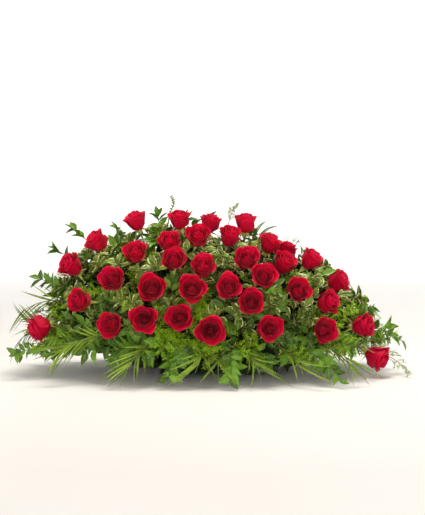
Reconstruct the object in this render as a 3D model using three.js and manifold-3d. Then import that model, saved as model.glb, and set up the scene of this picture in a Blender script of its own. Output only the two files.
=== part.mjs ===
// A spray of red roses and mixed greenery, cut stems set in a saddle tray of floral foam.
// Millimetres, +Z up, the front toward -Y. The origin is under the middle of the tray, on its flat base.

import * as THREE from 'three';
import { mergeVertices } from 'three/addons/utils/BufferGeometryUtils.js';
import Module from 'manifold-3d';

const wasm = await Module();
wasm.setup();

// Driving dimensions of the mound, which is the upper part of an ellipsoid
const moundHalfLength = 545;
const moundHalfDepth = 255;
const moundRise = 385;
const moundMiddleHeight = 80;

// Each bunch has a core of packed inner leaves that the rest stand out of. The cores make a rough dome
// over the stems, and their outside, their inside and the roots of the sprigs are shares of the mound.
const coreShare = 0.7;
const coreRoughness = 0.12;
const coreInside = 0.54;
const coreFloor = 70;
const rootShare = 0.58;
const lowestRoot = 98;
const bunchGap = 1;

// The tray, the foam in it and the tape over both
const baseLength = 300;
const baseDepth = 150;
const baseThickness = 4;
const baseCornerRadius = 14;
const foamLength = 228;
const foamDepth = 110;
const foamHeight = 95;
const trayWall = 3;
const trayHeight = 48;
const fitGap = 0.3;
const tapeWidth = 12;
const tapeThickness = 0.8;
const tapeOffset = 56;
const tapeLowEnd = 24;

// The stems of each bunch are bundled into one peg in a plain hole; cuts run on a little past the surface
const pegRadius = 6.5;
const pegDepth = 28;
const bundleSides = 6;
const cutBeyond = 20;

// Rose heads and their stems
const petalsAround = 5;
const headDepth = 30;
const stemRadius = 2.7;
const calyxRadius = 7.5;
const calyxLength = 14;

const holeRadius = pegRadius + 0.4;
const holeDepth = pegDepth + fitGap;
const foamBottom = baseThickness + fitGap;
const foamTop = foamBottom + foamHeight;
const up = new THREE.Vector3(0, 0, 1);

// The same seeded sequence every time
let seed = 20;
function random() {
  seed = (seed * 16807) % 2147483647;
  return seed / 2147483647;
}

function between(low, high) {
  return low + (high - low) * random();
}

function vector(triple) {
  return new THREE.Vector3(...triple);
}

// How far out a point lies: 0 in the middle of the mound, 1 on its surface
function moundShare(point) {
  const across = point.x / moundHalfLength;
  const deep = point.y / moundHalfDepth;
  const high = (point.z - moundMiddleHeight) / moundRise;
  return Math.hypot(across, deep, high);
}

// The direction straight out of the mound at a point
function outward(point) {
  return new THREE.Vector3(
    point.x / moundHalfLength ** 2,
    point.y / moundHalfDepth ** 2,
    (point.z - moundMiddleHeight) / moundRise ** 2,
  ).normalize();
}

// Closed skins are built from points and triangles; a ring of points is joined to the next by a band

class Skin {
  constructor() {
    this.points = [];
    this.triangles = [];
    this.waiting = [];
  }

  point(place) {
    this.points.push(place);
    return this.points.length - 1;
  }

  ring(places) {
    return places.map((place) => this.point(place));
  }

  band(low, high, left = []) {
    const open = [];
    for (let i = 0; i < low.length; i += 1) {
      const j = (i + 1) % low.length;
      const lower = [low[i], low[j], high[j]];
      const upper = [low[i], high[j], high[i]];
      for (const [half, triangle] of [lower, upper].entries()) {
        if (left.includes(2 * i + half)) {
          open[2 * i + half] = triangle;
        } else {
          this.triangles.push(triangle);
        }
      }
    }
    return open;
  }

  fan(ring, tip) {
    for (let i = 0; i < ring.length; i += 1) {
      this.triangles.push([ring[i], ring[(i + 1) % ring.length], tip]);
    }
  }

  lid(ring) {
    for (let i = 1; i + 1 < ring.length; i += 1) {
      this.triangles.push([ring[0], ring[i], ring[i + 1]]);
    }
  }

  // Whether any triangle from a given one on crosses another, or a place that waits for a blade, where
  // the two share no point
  crosses(first) {
    const all = [...this.waiting, ...this.triangles];
    const corners = all.map((triangle) => triangle.map((index) => this.points[index]));
    const boxes = corners.map((places) => new THREE.Box3().setFromPoints(places));
    const pierced = (one, other) => [0, 1, 2].some((k) => pierces(one[k], one[(k + 1) % 3], other));
    for (let i = this.waiting.length + first; i < all.length; i += 1) {
      for (let j = 0; j < i; j += 1) {
        const apart = !all[i].some((index) => all[j].includes(index));
        if (apart && boxes[i].intersectsBox(boxes[j])) {
          if (pierced(corners[i], corners[j]) || pierced(corners[j], corners[i])) {
            return true;
          }
        }
      }
    }
    return false;
  }

  // Takes back what was added after a mark
  trim(points, triangles) {
    this.points.length = points;
    this.triangles.length = triangles;
  }

  solid() {
    return makeSolid(
      Float32Array.from(this.points.flatMap((point) => point.toArray())),
      Uint32Array.from(this.triangles.flat()),
    );
  }
}

// Whether a line from one point to another passes through a triangle
function pierces(from, to, [a, b, c]) {
  const line = to.clone().sub(from);
  const one = b.clone().sub(a);
  const two = c.clone().sub(a);
  const across = line.clone().cross(two);
  const scale = one.dot(across);
  if (Math.abs(scale) < 1e-12) {
    return false;
  }
  const start = from.clone().sub(a);
  const u = start.dot(across) / scale;
  const turned = start.clone().cross(one);
  const v = line.dot(turned) / scale;
  const w = two.dot(turned) / scale;
  return u > 0 && v > 0 && u + v < 1 && w > 0 && w < 1;
}

function makeSolid(vertProperties, triVerts) {
  return new wasm.Manifold(new wasm.Mesh({ numProp: 3, vertProperties, triVerts }));
}

function solidOf(geometry) {
  const bare = geometry.clone();
  bare.deleteAttribute('normal');
  bare.deleteAttribute('uv');
  const merged = mergeVertices(bare, 1e-4);
  return makeSolid(
    Float32Array.from(merged.attributes.position.array),
    Uint32Array.from(merged.index.array),
  );
}

function geometryOf(solid) {
  const mesh = solid.getMesh();
  const geometry = new THREE.BufferGeometry();
  geometry.setAttribute('position', new THREE.BufferAttribute(Float32Array.from(mesh.vertProperties), 3));
  geometry.setIndex(Array.from(mesh.triVerts));
  geometry.computeVertexNormals();
  return geometry;
}

function boxSolid(low, high) {
  const size = high.clone().sub(low);
  const middle = high.clone().add(low).multiplyScalar(0.5);
  const geometry = new THREE.BoxGeometry(size.x, size.y, size.z);
  return solidOf(geometry.translate(middle.x, middle.y, middle.z));
}

// A round rod from one point along a direction
function rodSolid(from, direction, length, radius, sides) {
  const geometry = new THREE.CylinderGeometry(radius, radius, length, sides);
  geometry.translate(0, length / 2, 0);
  const turn = new THREE.Quaternion().setFromUnitVectors(new THREE.Vector3(0, 1, 0), direction);
  geometry.applyQuaternion(turn);
  return solidOf(geometry.translate(from.x, from.y, from.z));
}

// Materials

function finish(color, roughness) {
  return new THREE.MeshStandardMaterial({ color, roughness, metalness: 0 });
}

const petalRed = finish(0xc00a28, 0.6);
const leafGreen = finish(0x3f6b35, 0.6);
const foamGreen = finish(0x2f5a3c, 0.95);
const trayPlastic = finish(0x23402c, 0.5);
const tapeCloth = finish(0x3a5b45, 0.6);

const spray = new THREE.Group();

function addPiece(name, geometry, material) {
  const piece = new THREE.Mesh(geometry, material);
  piece.name = name;
  spray.add(piece);
  return piece;
}

// Where each bunch of greenery goes in: its entry point on the foam, and a seed point outside it.
// The space round the foam is shared out so that each bunch has what is nearest to its own seed.

const bunches = [
  ['greens_front_far_left', [-84, -55, 70], [-92, -74, 84]],
  ['greens_front_left', [-28, -55, 70], [-24, -105, 90]],
  ['greens_front_right', [28, -55, 70], [24, -105, 90]],
  ['greens_front_far_right', [84, -55, 70], [92, -74, 84]],
  ['greens_back_far_left', [-84, 55, 70], [-92, 74, 84]],
  ['greens_back_left', [-28, 55, 70], [-24, 105, 90]],
  ['greens_back_right', [28, 55, 70], [24, 105, 90]],
  ['greens_back_far_right', [84, 55, 70], [92, 74, 84]],
  ['greens_top_far_left', [-88, 0, foamTop], [-112, 0, foamTop + 32]],
  ['greens_top_left', [-26, 0, foamTop], [-34, 0, foamTop + 39]],
  ['greens_top_right', [26, 0, foamTop], [34, 0, foamTop + 39]],
  ['greens_top_far_right', [88, 0, foamTop], [112, 0, foamTop + 32]],
  ['greens_left_end', [-114, 0, 62], [-153, 0, 72]],
  ['greens_right_end', [114, 0, 62], [153, 0, 72]],
].map(([name, entry, nearest]) => {
  const bunch = { name, entry: vector(entry), nearest: vector(nearest), solids: [] };
  bunch.direction = bunch.nearest.clone().sub(bunch.entry).normalize();
  return bunch;
});

function bunchAt(point) {
  return bunches.reduce((best, bunch) => (
    point.distanceTo(bunch.nearest) < point.distanceTo(best.nearest) ? bunch : best));
}

// What is already in place, so that nothing new grows through it

const placed = [];

function boxAround(solid) {
  const box = solid.boundingBox();
  return new THREE.Box3(vector(box.min), vector(box.max));
}

function place(solid, owner, kind) {
  placed.push({ solid, owner, kind, box: boxAround(solid) });
}

function isClear(probe, allowed) {
  const box = boxAround(probe);
  return placed.every((thing) => (
    allowed(thing) || !thing.box.intersectsBox(box) || probe.intersect(thing.solid).isEmpty()));
}

// The tray: a rounded base plate with four walls on it

function roundedPlate(length, depth, height, corner) {
  const x = length / 2;
  const y = depth / 2;
  const outline = new THREE.Shape();
  outline.moveTo(-x + corner, -y);
  outline.lineTo(x - corner, -y);
  outline.absarc(x - corner, -y + corner, corner, -Math.PI / 2, 0);
  outline.absarc(x - corner, y - corner, corner, 0, Math.PI / 2);
  outline.absarc(-x + corner, y - corner, corner, Math.PI / 2, Math.PI);
  outline.absarc(-x + corner, -y + corner, corner, Math.PI, Math.PI * 1.5);
  return new THREE.ExtrudeGeometry(outline, { depth: height, bevelEnabled: false, curveSegments: 4 });
}

const wallX = foamLength / 2 + fitGap;
const wallY = foamDepth / 2 + fitGap;

function makeTray() {
  const outerX = wallX + trayWall;
  const outerY = wallY + trayWall;
  const walls = boxSolid(
    new THREE.Vector3(-outerX, -outerY, fitGap),
    new THREE.Vector3(outerX, outerY, trayHeight),
  );
  const cavity = boxSolid(
    new THREE.Vector3(-wallX, -wallY, baseThickness),
    new THREE.Vector3(wallX, wallY, trayHeight + cutBeyond),
  );
  const plate = solidOf(roundedPlate(baseLength, baseDepth, baseThickness, baseCornerRadius));
  return plate.add(walls).subtract(cavity);
}

const tray = makeTray();
place(tray, 'saddle_tray', 'holder');
addPiece('saddle_tray', geometryOf(tray), trayPlastic);

// The foam block, with a plain hole for each bunch

const foamLow = new THREE.Vector3(-foamLength / 2, -foamDepth / 2, foamBottom);
const foamHigh = new THREE.Vector3(foamLength / 2, foamDepth / 2, foamTop);

function makeFoam() {
  let foam = boxSolid(foamLow, foamHigh);
  for (const bunch of bunches) {
    const bottom = bunch.entry.clone().addScaledVector(bunch.direction, -holeDepth);
    foam = foam.subtract(rodSolid(bottom, bunch.direction, holeDepth + cutBeyond, holeRadius, bundleSides));
  }
  return foam;
}

addPiece('foam_block', geometryOf(makeFoam()), foamGreen);

// Tape over the foam, over the tray's rim and down its walls

function makeTape(middleX) {
  const outer = wallY + trayWall + fitGap;
  const inner = foamDepth / 2 + fitGap;
  const rim = trayHeight + fitGap;
  const crown = foamTop + fitGap;
  const t = tapeThickness;
  const half = [
    [outer, tapeLowEnd],
    [outer + t, tapeLowEnd],
    [outer + t, rim + t],
    [inner + t, rim + t],
    [inner + t, crown + t],
  ];
  const inside = [[inner, crown], [inner, rim], [outer, rim]];
  const mirrored = (points) => points.map(([y, z]) => [-y, z]).reverse();
  const outline = [...half, ...mirrored(half), ...mirrored(inside), ...inside];
  const shape = new THREE.Shape(outline.map(([y, z]) => new THREE.Vector2(y, z)));
  const geometry = new THREE.ExtrudeGeometry(shape, { depth: tapeWidth, bevelEnabled: false });
  // The outline's across and up become Y and Z, and the extrusion runs along X
  geometry.applyMatrix4(new THREE.Matrix4().set(
    0, 0, 1, middleX - tapeWidth / 2,
    1, 0, 0, 0,
    0, 1, 0, 0,
    0, 0, 0, 1,
  ));
  return geometry;
}

for (const [name, side] of [['anchor_tape_left', -1], ['anchor_tape_right', 1]]) {
  const tape = makeTape(side * tapeOffset);
  place(solidOf(tape), name, 'holder');
  addPiece(name, tape, tapeCloth);
}

// Cores: the bunch's share of a rough dome, clear of the foam and of the other bunches, on the bundle of
// stems that holds it up

function roughMound(middleShare, roughness, detail) {
  const geometry = new THREE.IcosahedronGeometry(1, detail);
  geometry.deleteAttribute('normal');
  geometry.deleteAttribute('uv');
  const ball = mergeVertices(geometry, 1e-4);
  const position = ball.attributes.position;
  for (let i = 0; i < position.count; i += 1) {
    const share = middleShare * between(1 - roughness, 1 + roughness);
    position.setXYZ(
      i,
      position.getX(i) * share * moundHalfLength,
      position.getY(i) * share * moundHalfDepth,
      position.getZ(i) * share * moundRise + moundMiddleHeight,
    );
  }
  return solidOf(ball);
}

// A block that covers everything on the far side of a plane
const farSize = 3000;

function farSide(point, normal) {
  return rodSolid(point, normal, farSize, farSize, 4);
}

function makeCore(dome, bunch) {
  let core = dome.subtract(farSide(new THREE.Vector3(0, 0, coreFloor), new THREE.Vector3(0, 0, -1)));
  for (const other of bunches) {
    if (other !== bunch) {
      const normal = other.nearest.clone().sub(bunch.nearest).normalize();
      const middle = other.nearest.clone().add(bunch.nearest).multiplyScalar(0.5);
      core = core.subtract(farSide(middle.addScaledVector(normal, -bunchGap / 2), normal));
    }
  }
  return core;
}

const dome = roughMound(coreShare, coreRoughness, 3).subtract(roughMound(coreInside, 0, 1));
for (const bunch of bunches) {
  const core = makeCore(dome, bunch);
  const foot = bunch.entry.clone().addScaledVector(bunch.direction, -pegDepth);
  const top = bunch.entry.clone();
  while (moundShare(top) < rootShare) {
    top.addScaledVector(bunch.direction, 1);
  }
  const bundle = rodSolid(foot, bunch.direction, foot.distanceTo(top), pegRadius, bundleSides);
  bunch.solids.push(core, bundle);
  place(core, bunch.name, 'core');
  place(bundle, bunch.name, 'core');
}

// Rose heads: where the face of each head is, which way it looks, and its radius.
// The first 36 are on the front and top, and the last six on the back.

const roses = [
  [-220, -20, 440, -0.3, -0.25, 0.92, 32],
  [-95, -40, 443, 0, -0.35, 0.94, 31],
  [-5, 5, 433, 0.25, -0.1, 0.95, 31],
  [95, -10, 433, 0.05, -0.2, 0.97, 32],
  [-330, -50, 380, -0.65, -0.4, 0.62, 33],
  [-40, -130, 395, 0, -0.75, 0.66, 34],
  [-120, -120, 380, 0, -0.7, 0.7, 32],
  [50, -80, 395, 0.25, -0.45, 0.85, 33],
  [165, -40, 375, 0.35, -0.2, 0.9, 33],
  [-215, -130, 350, -0.1, -0.75, 0.65, 33],
  [-105, -185, 335, 0, -0.85, 0.5, 33],
  [215, 20, 350, 0.3, 0.1, 0.95, 32],
  [200, -110, 320, 0.45, -0.6, 0.65, 34],
  [282, -60, 328, 0.6, -0.3, 0.75, 33],
  [-400, -80, 310, -0.6, -0.6, 0.5, 35],
  [95, -170, 335, 0.1, -0.85, 0.5, 34],
  [-25, -195, 315, 0, -0.8, 0.6, 34],
  [140, -190, 290, 0.1, -0.9, 0.4, 34],
  [-275, -180, 280, -0.2, -0.9, 0.35, 34],
  [358, -70, 267, 0.8, -0.35, 0.45, 33],
  [-165, -225, 260, 0, -0.95, 0.3, 37],
  [-55, -235, 260, 0.05, -0.95, 0.3, 36],
  [45, -225, 265, 0, -0.93, 0.35, 33],
  [235, -190, 251, 0.2, -0.9, 0.35, 34],
  [105, -235, 225, 0, -0.95, 0.25, 34],
  [320, -150, 215, 0.7, -0.6, 0.35, 33],
  [-365, -160, 220, -0.55, -0.8, 0.2, 33],
  [-275, -220, 161, -0.35, -0.92, 0.15, 34],
  [-185, -245, 180, 0, -1, 0.15, 35],
  [-90, -250, 185, -0.1, -0.95, 0.2, 34],
  [-6, -265, 151, 0, -0.98, 0.1, 37],
  [155, -250, 155, 0.1, -0.95, 0.2, 33],
  [305, -215, 146, 0.25, -0.92, 0.1, 33],
  [422, -120, 145, 0.75, -0.5, 0.1, 33],
  [-488, -100, 138, -0.8, -0.35, -0.35, 36],
  [462, -110, 57, 0.7, -0.4, -0.35, 36],
  [-330, 120, 270, -0.6, 0.7, 0.4, 33],
  [-195, 190, 230, -0.2, 0.9, 0.35, 34],
  [-70, 170, 320, -0.1, 0.75, 0.65, 34],
  [75, 215, 215, 0.1, 0.95, 0.3, 35],
  [205, 170, 270, 0.3, 0.8, 0.5, 33],
  [340, 135, 190, 0.65, 0.7, 0.3, 33],
].map(([x, y, z, toX, toY, toZ, radius]) => {
  const face = new THREE.Vector3(x, y, z);
  const direction = new THREE.Vector3(toX, toY, toZ).normalize();
  return { face, direction, radius, base: face.clone().addScaledVector(direction, -headDepth) };
});

// Rings of a head from its underside to the bud in its middle, as shares of its radius: out, along, and
// how deep the petal edges are cut. Petals of one layer cover the gaps of the layer outside it.

const headRings = [
  [0.24, 0, 0, 0],
  [0.76, 0.5, 0, 0],
  [0.93, 1.36, 0.07, 0],
  [0.7, 1.1, 0, 0],
  [0.58, 1.66, 0.06, 1],
  [0.36, 1.36, 0, 0],
];
const budTip = 1.82;

function frameOf(direction) {
  const reference = Math.abs(direction.z) > 0.9 ? new THREE.Vector3(0, -1, 0) : up;
  const side = new THREE.Vector3().crossVectors(reference, direction).normalize();
  return [side, new THREE.Vector3().crossVectors(direction, side)];
}

function makeHead(rose) {
  const skin = new Skin();
  const [side, rise] = frameOf(rose.direction);
  const turn = between(0, Math.PI);
  const rings = headRings.map(([out, along, cut, layer]) => {
    const places = [];
    for (let i = 0; i < 2 * petalsAround; i += 1) {
      const angle = turn + (Math.PI * i) / petalsAround;
      const lobe = cut * Math.cos(petalsAround * (angle - turn) + layer * Math.PI);
      const reach = rose.radius * (out + lobe) * (cut > 0 ? between(0.96, 1.04) : 1);
      const height = rose.radius * (along + lobe);
      places.push(rose.base.clone()
        .addScaledVector(side, reach * Math.cos(angle))
        .addScaledVector(rise, reach * Math.sin(angle))
        .addScaledVector(rose.direction, height));
    }
    return skin.ring(places);
  });
  skin.lid([...rings[0]].reverse());
  for (let i = 0; i + 1 < rings.length; i += 1) {
    skin.band(rings[i], rings[i + 1]);
  }
  const bud = rose.base.clone().addScaledVector(rose.direction, budTip * rose.radius);
  skin.fan(rings[rings.length - 1], skin.point(bud));
  return skin.solid();
}

for (const [index, rose] of roses.entries()) {
  rose.name = `rose_head_${String(index + 1).padStart(2, '0')}`;
  rose.head = makeHead(rose);
  place(rose.head, rose.name, 'head');
  addPiece(rose.name, geometryOf(rose.head), petalRed);
}

// A tube of any number of sides along a path, with a radius at each point of the path

function ringsAlong(skin, path, radii, sides, upright) {
  return path.map((place, i) => {
    const before = path[Math.max(i - 1, 0)];
    const after = path[Math.min(i + 1, path.length - 1)];
    const tangent = after.clone().sub(before).normalize();
    const side = new THREE.Vector3().crossVectors(upright, tangent).normalize();
    const rise = new THREE.Vector3().crossVectors(tangent, side);
    const places = [];
    for (let k = 0; k < sides; k += 1) {
      const angle = Math.PI / 2 + (2 * Math.PI * k) / sides;
      places.push(place.clone()
        .addScaledVector(side, radii[i] * Math.cos(angle))
        .addScaledVector(rise, radii[i] * Math.sin(angle)));
    }
    return skin.ring(places);
  });
}

function tubeSolid(path, radii, sides, upright) {
  const skin = new Skin();
  const rings = ringsAlong(skin, path, radii, sides, upright);
  for (let i = 0; i + 1 < rings.length; i += 1) {
    skin.band(rings[i], rings[i + 1]);
  }
  skin.lid([...rings[0]].reverse());
  skin.lid(rings[rings.length - 1]);
  return skin.solid();
}

// Inside a bunch's core, on the way from its seed to a point outside
function rootToward(bunch, target) {
  const root = new THREE.Vector3();
  for (let share = 1; share > 0; share -= 0.02) {
    root.lerpVectors(bunch.nearest, target, share);
    root.z = Math.max(root.z, lowestRoot);
    if (moundShare(root) <= rootShare) {
      break;
    }
  }
  return root;
}

// Rose stems, each ending in a calyx that flares to the head's underside

for (const rose of roses) {
  const end = rose.base.clone().addScaledVector(rose.direction, -fitGap);
  const bunch = bunchAt(end);
  const root = rootToward(bunch, end);
  const neck = end.clone().addScaledVector(rose.direction, -calyxLength);
  const swell = end.clone().addScaledVector(rose.direction, -0.5 * calyxLength);
  const radii = [stemRadius, stemRadius, stemRadius * 1.1, calyxRadius * 0.85, calyxRadius];
  const [side] = frameOf(rose.direction);
  const stemBent = (bend) => {
    const shoulder = neck.clone().addScaledVector(rose.direction, -bend * neck.distanceTo(root));
    const curve = new THREE.QuadraticBezierCurve3(root, shoulder, neck);
    return tubeSolid([...curve.getPoints(2), swell, end], radii, 4, side);
  };
  // A stem bends less where it would meet another piece
  const stem = [0.4, 0.25, 0.1, 0].map(stemBent).find((tube) => (
    isClear(tube, (thing) => thing.owner === bunch.name)));
  bunch.solids.push(stem);
  place(stem, bunch.name, 'stem');
}

// Leaves grow out of the sides of a three-sided stem. A leaf is a blade that is flat on one face and
// ridged on the other, from the triangle of stem skin that it takes the place of to its tip.

const widestShare = 0.42;

// Turns three points so that their triangle faces the way the leaf grows
function facing(leaf, places) {
  const normal = new THREE.Triangle(...places).getNormal(new THREE.Vector3());
  return normal.dot(leaf.direction) < 0 ? [...places].reverse() : places;
}

function widestSection(leaf) {
  const face = new THREE.Vector3().crossVectors(leaf.direction, leaf.across).normalize();
  const middle = leaf.from.clone()
    .addScaledVector(leaf.direction, widestShare * leaf.length)
    .addScaledVector(up, -leaf.droop * widestShare ** 2);
  return facing(leaf, [
    middle.clone().addScaledVector(leaf.across, 0.5 * leaf.width),
    middle.clone().addScaledVector(face, leaf.thickness),
    middle.clone().addScaledVector(leaf.across, -0.5 * leaf.width),
  ]);
}

function bladeTip(leaf) {
  return leaf.from.clone().addScaledVector(leaf.direction, leaf.length).addScaledVector(up, -leaf.droop);
}

// The three ways to start the second ring, the one that lines up best with the first ring coming first
function lineUp(skin, base, ring) {
  const middleOf = (indices) => indices
    .reduce((sum, index) => sum.add(skin.points[index]), new THREE.Vector3())
    .divideScalar(indices.length);
  const baseMiddle = middleOf(base);
  const ringMiddle = middleOf(ring);
  const agreement = (shift) => base.reduce((sum, index, i) => {
    const fromBase = skin.points[index].clone().sub(baseMiddle);
    const fromRing = skin.points[ring[(i + shift) % 3]].clone().sub(ringMiddle);
    return sum + fromBase.dot(fromRing);
  }, 0);
  return [0, 1, 2]
    .sort((a, b) => agreement(b) - agreement(a))
    .map((shift) => ring.map((_, i) => ring[(i + shift) % 3]));
}

// Grows a blade from a ring. Returns whether it came out without crossing what the skin already has.
function growBlade(skin, base, leaf) {
  const points = skin.points.length;
  const triangles = skin.triangles.length;
  for (const widest of lineUp(skin, base, skin.ring(widestSection(leaf)))) {
    skin.band(base, widest);
    skin.fan(widest, skin.point(bladeTip(leaf)));
    if (!skin.crosses(triangles)) {
      return true;
    }
    skin.trim(points + 3, triangles);
  }
  skin.trim(points, triangles);
  return false;
}

const stalkRadius = 1.5;

// The same blade by itself, from a little way out; a grown copy of it tests that its place is free. It
// starts below the blade and ends level with its tip, a little beyond, so that the blade is inside it.
function bladeSolid(leaf, extra, start) {
  const face = new THREE.Vector3().crossVectors(leaf.direction, leaf.across).normalize();
  const grown = {
    ...leaf,
    from: leaf.from.clone().addScaledVector(face, -extra),
    direction: leaf.direction.clone().addScaledVector(face, extra / leaf.length),
    width: leaf.width + 2 * extra,
    thickness: leaf.thickness + 2 * extra,
    length: leaf.length + 4 * extra,
  };
  const skin = new Skin();
  const from = grown.from.clone().addScaledVector(leaf.direction, start * leaf.length);
  const radius = stalkRadius + extra;
  const ring = skin.ring(facing(leaf, [0, 1, 2].map((k) => {
    const angle = (2 * Math.PI * k) / 3;
    return from.clone()
      .addScaledVector(leaf.across, radius * Math.cos(angle))
      .addScaledVector(face, radius * Math.sin(angle));
  })));
  skin.lid([...ring].reverse());
  growBlade(skin, ring, grown);
  return skin.solid();
}

const clearance = 0.5;
const joinedShare = 0.1;
const lowestLeaf = 3;
const leafShares = [1, 0.75, 0.5];
const leafLifts = [0, 0.3, -0.3, 0.6];

// A stem keeps clear of the other bunches all the way, and of its own bunch's leaves outside the core
function stemIsClear(bunch, path, radii, upright) {
  const wider = radii.map((radius) => radius + clearance);
  const own = (thing) => thing.owner === bunch.name;
  const outside = path.findIndex((place) => moundShare(place) > coreShare * (1 + coreRoughness));
  const first = Math.max(outside - 1, 0);
  const whole = tubeSolid(path, wider, 3, upright);
  const outer = tubeSolid(path.slice(first), wider.slice(first), 3, upright);
  const woody = (thing) => own(thing) && ['core', 'stem'].includes(thing.kind);
  return isClear(whole, own) && isClear(outer, woody);
}

// A leaf that is a share of its size and turned up out of its plane
function fitted(leaf, share, lift) {
  const face = new THREE.Vector3().crossVectors(leaf.direction, leaf.across).normalize();
  return {
    ...leaf,
    direction: leaf.direction.clone().addScaledVector(face, lift).normalize(),
    length: leaf.length * share,
    width: leaf.width * Math.sqrt(share),
    droop: leaf.droop * share,
  };
}

// A sprig is a three-sided stem along a path, with blades at its knots and one at its end. A blade that
// would meet another, or its own stem, is made smaller, or left off. Returns whether the stem had room.
function growSprig(bunch, { path, upright, radius, knots, tipLeaf }) {
  const radii = path.map((_, i) => radius * (1 - (0.45 * i) / path.length));
  if (!stemIsClear(bunch, path, radii, upright)) {
    return false;
  }
  const skin = new Skin();
  const rings = ringsAlong(skin, path, radii, 3, upright);
  const places = [];
  for (let i = 0; i + 1 < rings.length; i += 1) {
    const from = path[i].clone().add(path[i + 1]).multiplyScalar(0.5);
    const leaves = knots[i] ?? [];
    const open = skin.band(rings[i], rings[i + 1], leaves.map((leaf) => leaf.slot));
    places.push(...leaves.map((leaf) => ({ leaf: { ...leaf, from }, base: open[leaf.slot] })));
  }
  skin.lid([...rings[0]].reverse());
  const last = rings[rings.length - 1];
  if (tipLeaf) {
    places.push({ leaf: { ...tipLeaf, from: path[path.length - 1] }, base: last });
  } else {
    skin.lid(last);
  }
  skin.waiting = places.map(({ base }) => base);
  if (skin.crosses(0)) {
    return false;
  }
  const grown = [];
  const grows = (leaf, base) => {
    const probe = bladeSolid(leaf, clearance, joinedShare);
    if (probe.boundingBox().min[2] < lowestLeaf || !isClear(probe, () => false)) {
      return false;
    }
    if (!growBlade(skin, base, leaf)) {
      return false;
    }
    grown.push(bladeSolid(leaf, 0, joinedShare));
    return true;
  };
  for (const { leaf, base } of places) {
    const sizes = leafShares.flatMap((share) => leafLifts.map((lift) => fitted(leaf, share, lift)));
    skin.waiting.shift();
    if (!sizes.some((smaller) => grows(smaller, base))) {
      skin.lid(base);
    }
  }
  place(tubeSolid(path, radii, 3, upright), bunch.name, 'twig');
  for (const blade of grown) {
    place(blade, bunch.name, 'blade');
  }
  bunch.solids.push(skin.solid());
  return true;
}

// Points along a stem from its root, bent over a shoulder, that ends short of its tip by the end leaf
function bentPath(root, shoulder, tip, endLeaf, shares) {
  const end = tip.clone().addScaledVector(tip.clone().sub(shoulder).normalize(), -endLeaf);
  const curve = new THREE.QuadraticBezierCurve3(root, shoulder, end);
  return shares.map((share) => curve.getPoint(share));
}

function headingAt(path, i) {
  return path[i + 1].clone().sub(path[i]).normalize();
}

// Slots of a knot on a three-sided stem: 0 faces left and up, 4 faces right and up
function sideBlade(heading, upright, side, angle, shape) {
  const left = new THREE.Vector3().crossVectors(upright, heading).normalize().multiplyScalar(-side);
  const direction = heading.clone().multiplyScalar(Math.cos(angle)).addScaledVector(left, Math.sin(angle));
  const across = heading.clone().multiplyScalar(-Math.sin(angle)).addScaledVector(left, Math.cos(angle));
  return { direction, across, slot: side < 0 ? 4 : 0, ...shape };
}

function endBlade(path, upright, shape) {
  return sideBlade(headingAt(path, path.length - 2), upright, 1, 0.05, shape);
}

// Broad leaves in pairs on a long stem
function ruscus(root, shoulder, tip, size) {
  const leaf = { length: 50 * size, width: 25 * size, thickness: 1.5, droop: 3 };
  const length = root.distanceTo(shoulder) + shoulder.distanceTo(tip);
  const pairs = Math.max(2, Math.round((0.5 * length) / (46 * size)));
  const shares = [0];
  for (let i = 0; i < pairs; i += 1) {
    const share = 0.48 + (0.46 * i) / Math.max(pairs - 1, 1);
    shares.push(share, share + 0.022);
  }
  const path = bentPath(root, shoulder, tip, leaf.length, shares);
  const upright = outward(tip);
  const knots = path.map((_, i) => {
    if (i % 2 === 0 || i + 1 >= path.length) {
      return [];
    }
    return [-1, 1].map((side) => sideBlade(headingAt(path, i), upright, side, between(0.7, 1.0), {
      ...leaf, length: leaf.length * between(0.85, 1.1),
    }));
  });
  return { path, upright, radius: 2.4, knots, tipLeaf: endBlade(path, upright, leaf) };
}

// Leaflets close together on both sides of a midrib, in the manner of one plant
function frond(root, shoulder, tip, plant) {
  const shares = [0];
  for (let i = 0; i <= plant.pairs; i += 1) {
    shares.push(plant.bare + ((1 - plant.bare) * i) / plant.pairs);
  }
  const endLeaf = { length: plant.reach(1), width: plant.width, thickness: 1.2, droop: 1 };
  const path = bentPath(root, shoulder, tip, endLeaf.length, shares);
  const upright = outward(tip);
  const knots = path.map((_, i) => {
    if (i === 0 || i + 1 >= path.length) {
      return [];
    }
    const reach = plant.reach((i - 0.5) / plant.pairs);
    return [-1, 1].map((side) => sideBlade(headingAt(path, i), upright, side, plant.angle, {
      length: reach * between(0.88, 1.08),
      width: plant.width,
      thickness: 1.2,
      droop: plant.droop * reach,
    }));
  });
  return { path, upright, radius: plant.radius, knots, tipLeaf: endBlade(path, upright, endLeaf) };
}

// How the fronds of each plant look: pairs of leaflets, the share of the stem that is bare, the angle
// and width of a leaflet, and its length along the frond
const palm = {
  pairs: 5,
  bare: 0.42,
  angle: 0.46,
  width: 10,
  radius: 2.4,
  droop: 0.12,
  reach: (along) => 44 + 52 * Math.sin(2.7 * along),
};
const fern = {
  pairs: 6,
  bare: 0.42,
  angle: 0.95,
  width: 13,
  radius: 2,
  droop: 0.03,
  reach: (along) => 50 - 32 * along,
};
const wisp = {
  pairs: 5,
  bare: 0.4,
  angle: 0.6,
  width: 6,
  radius: 1.4,
  droop: 0,
  reach: (along) => 18 - 8 * along,
};

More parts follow.
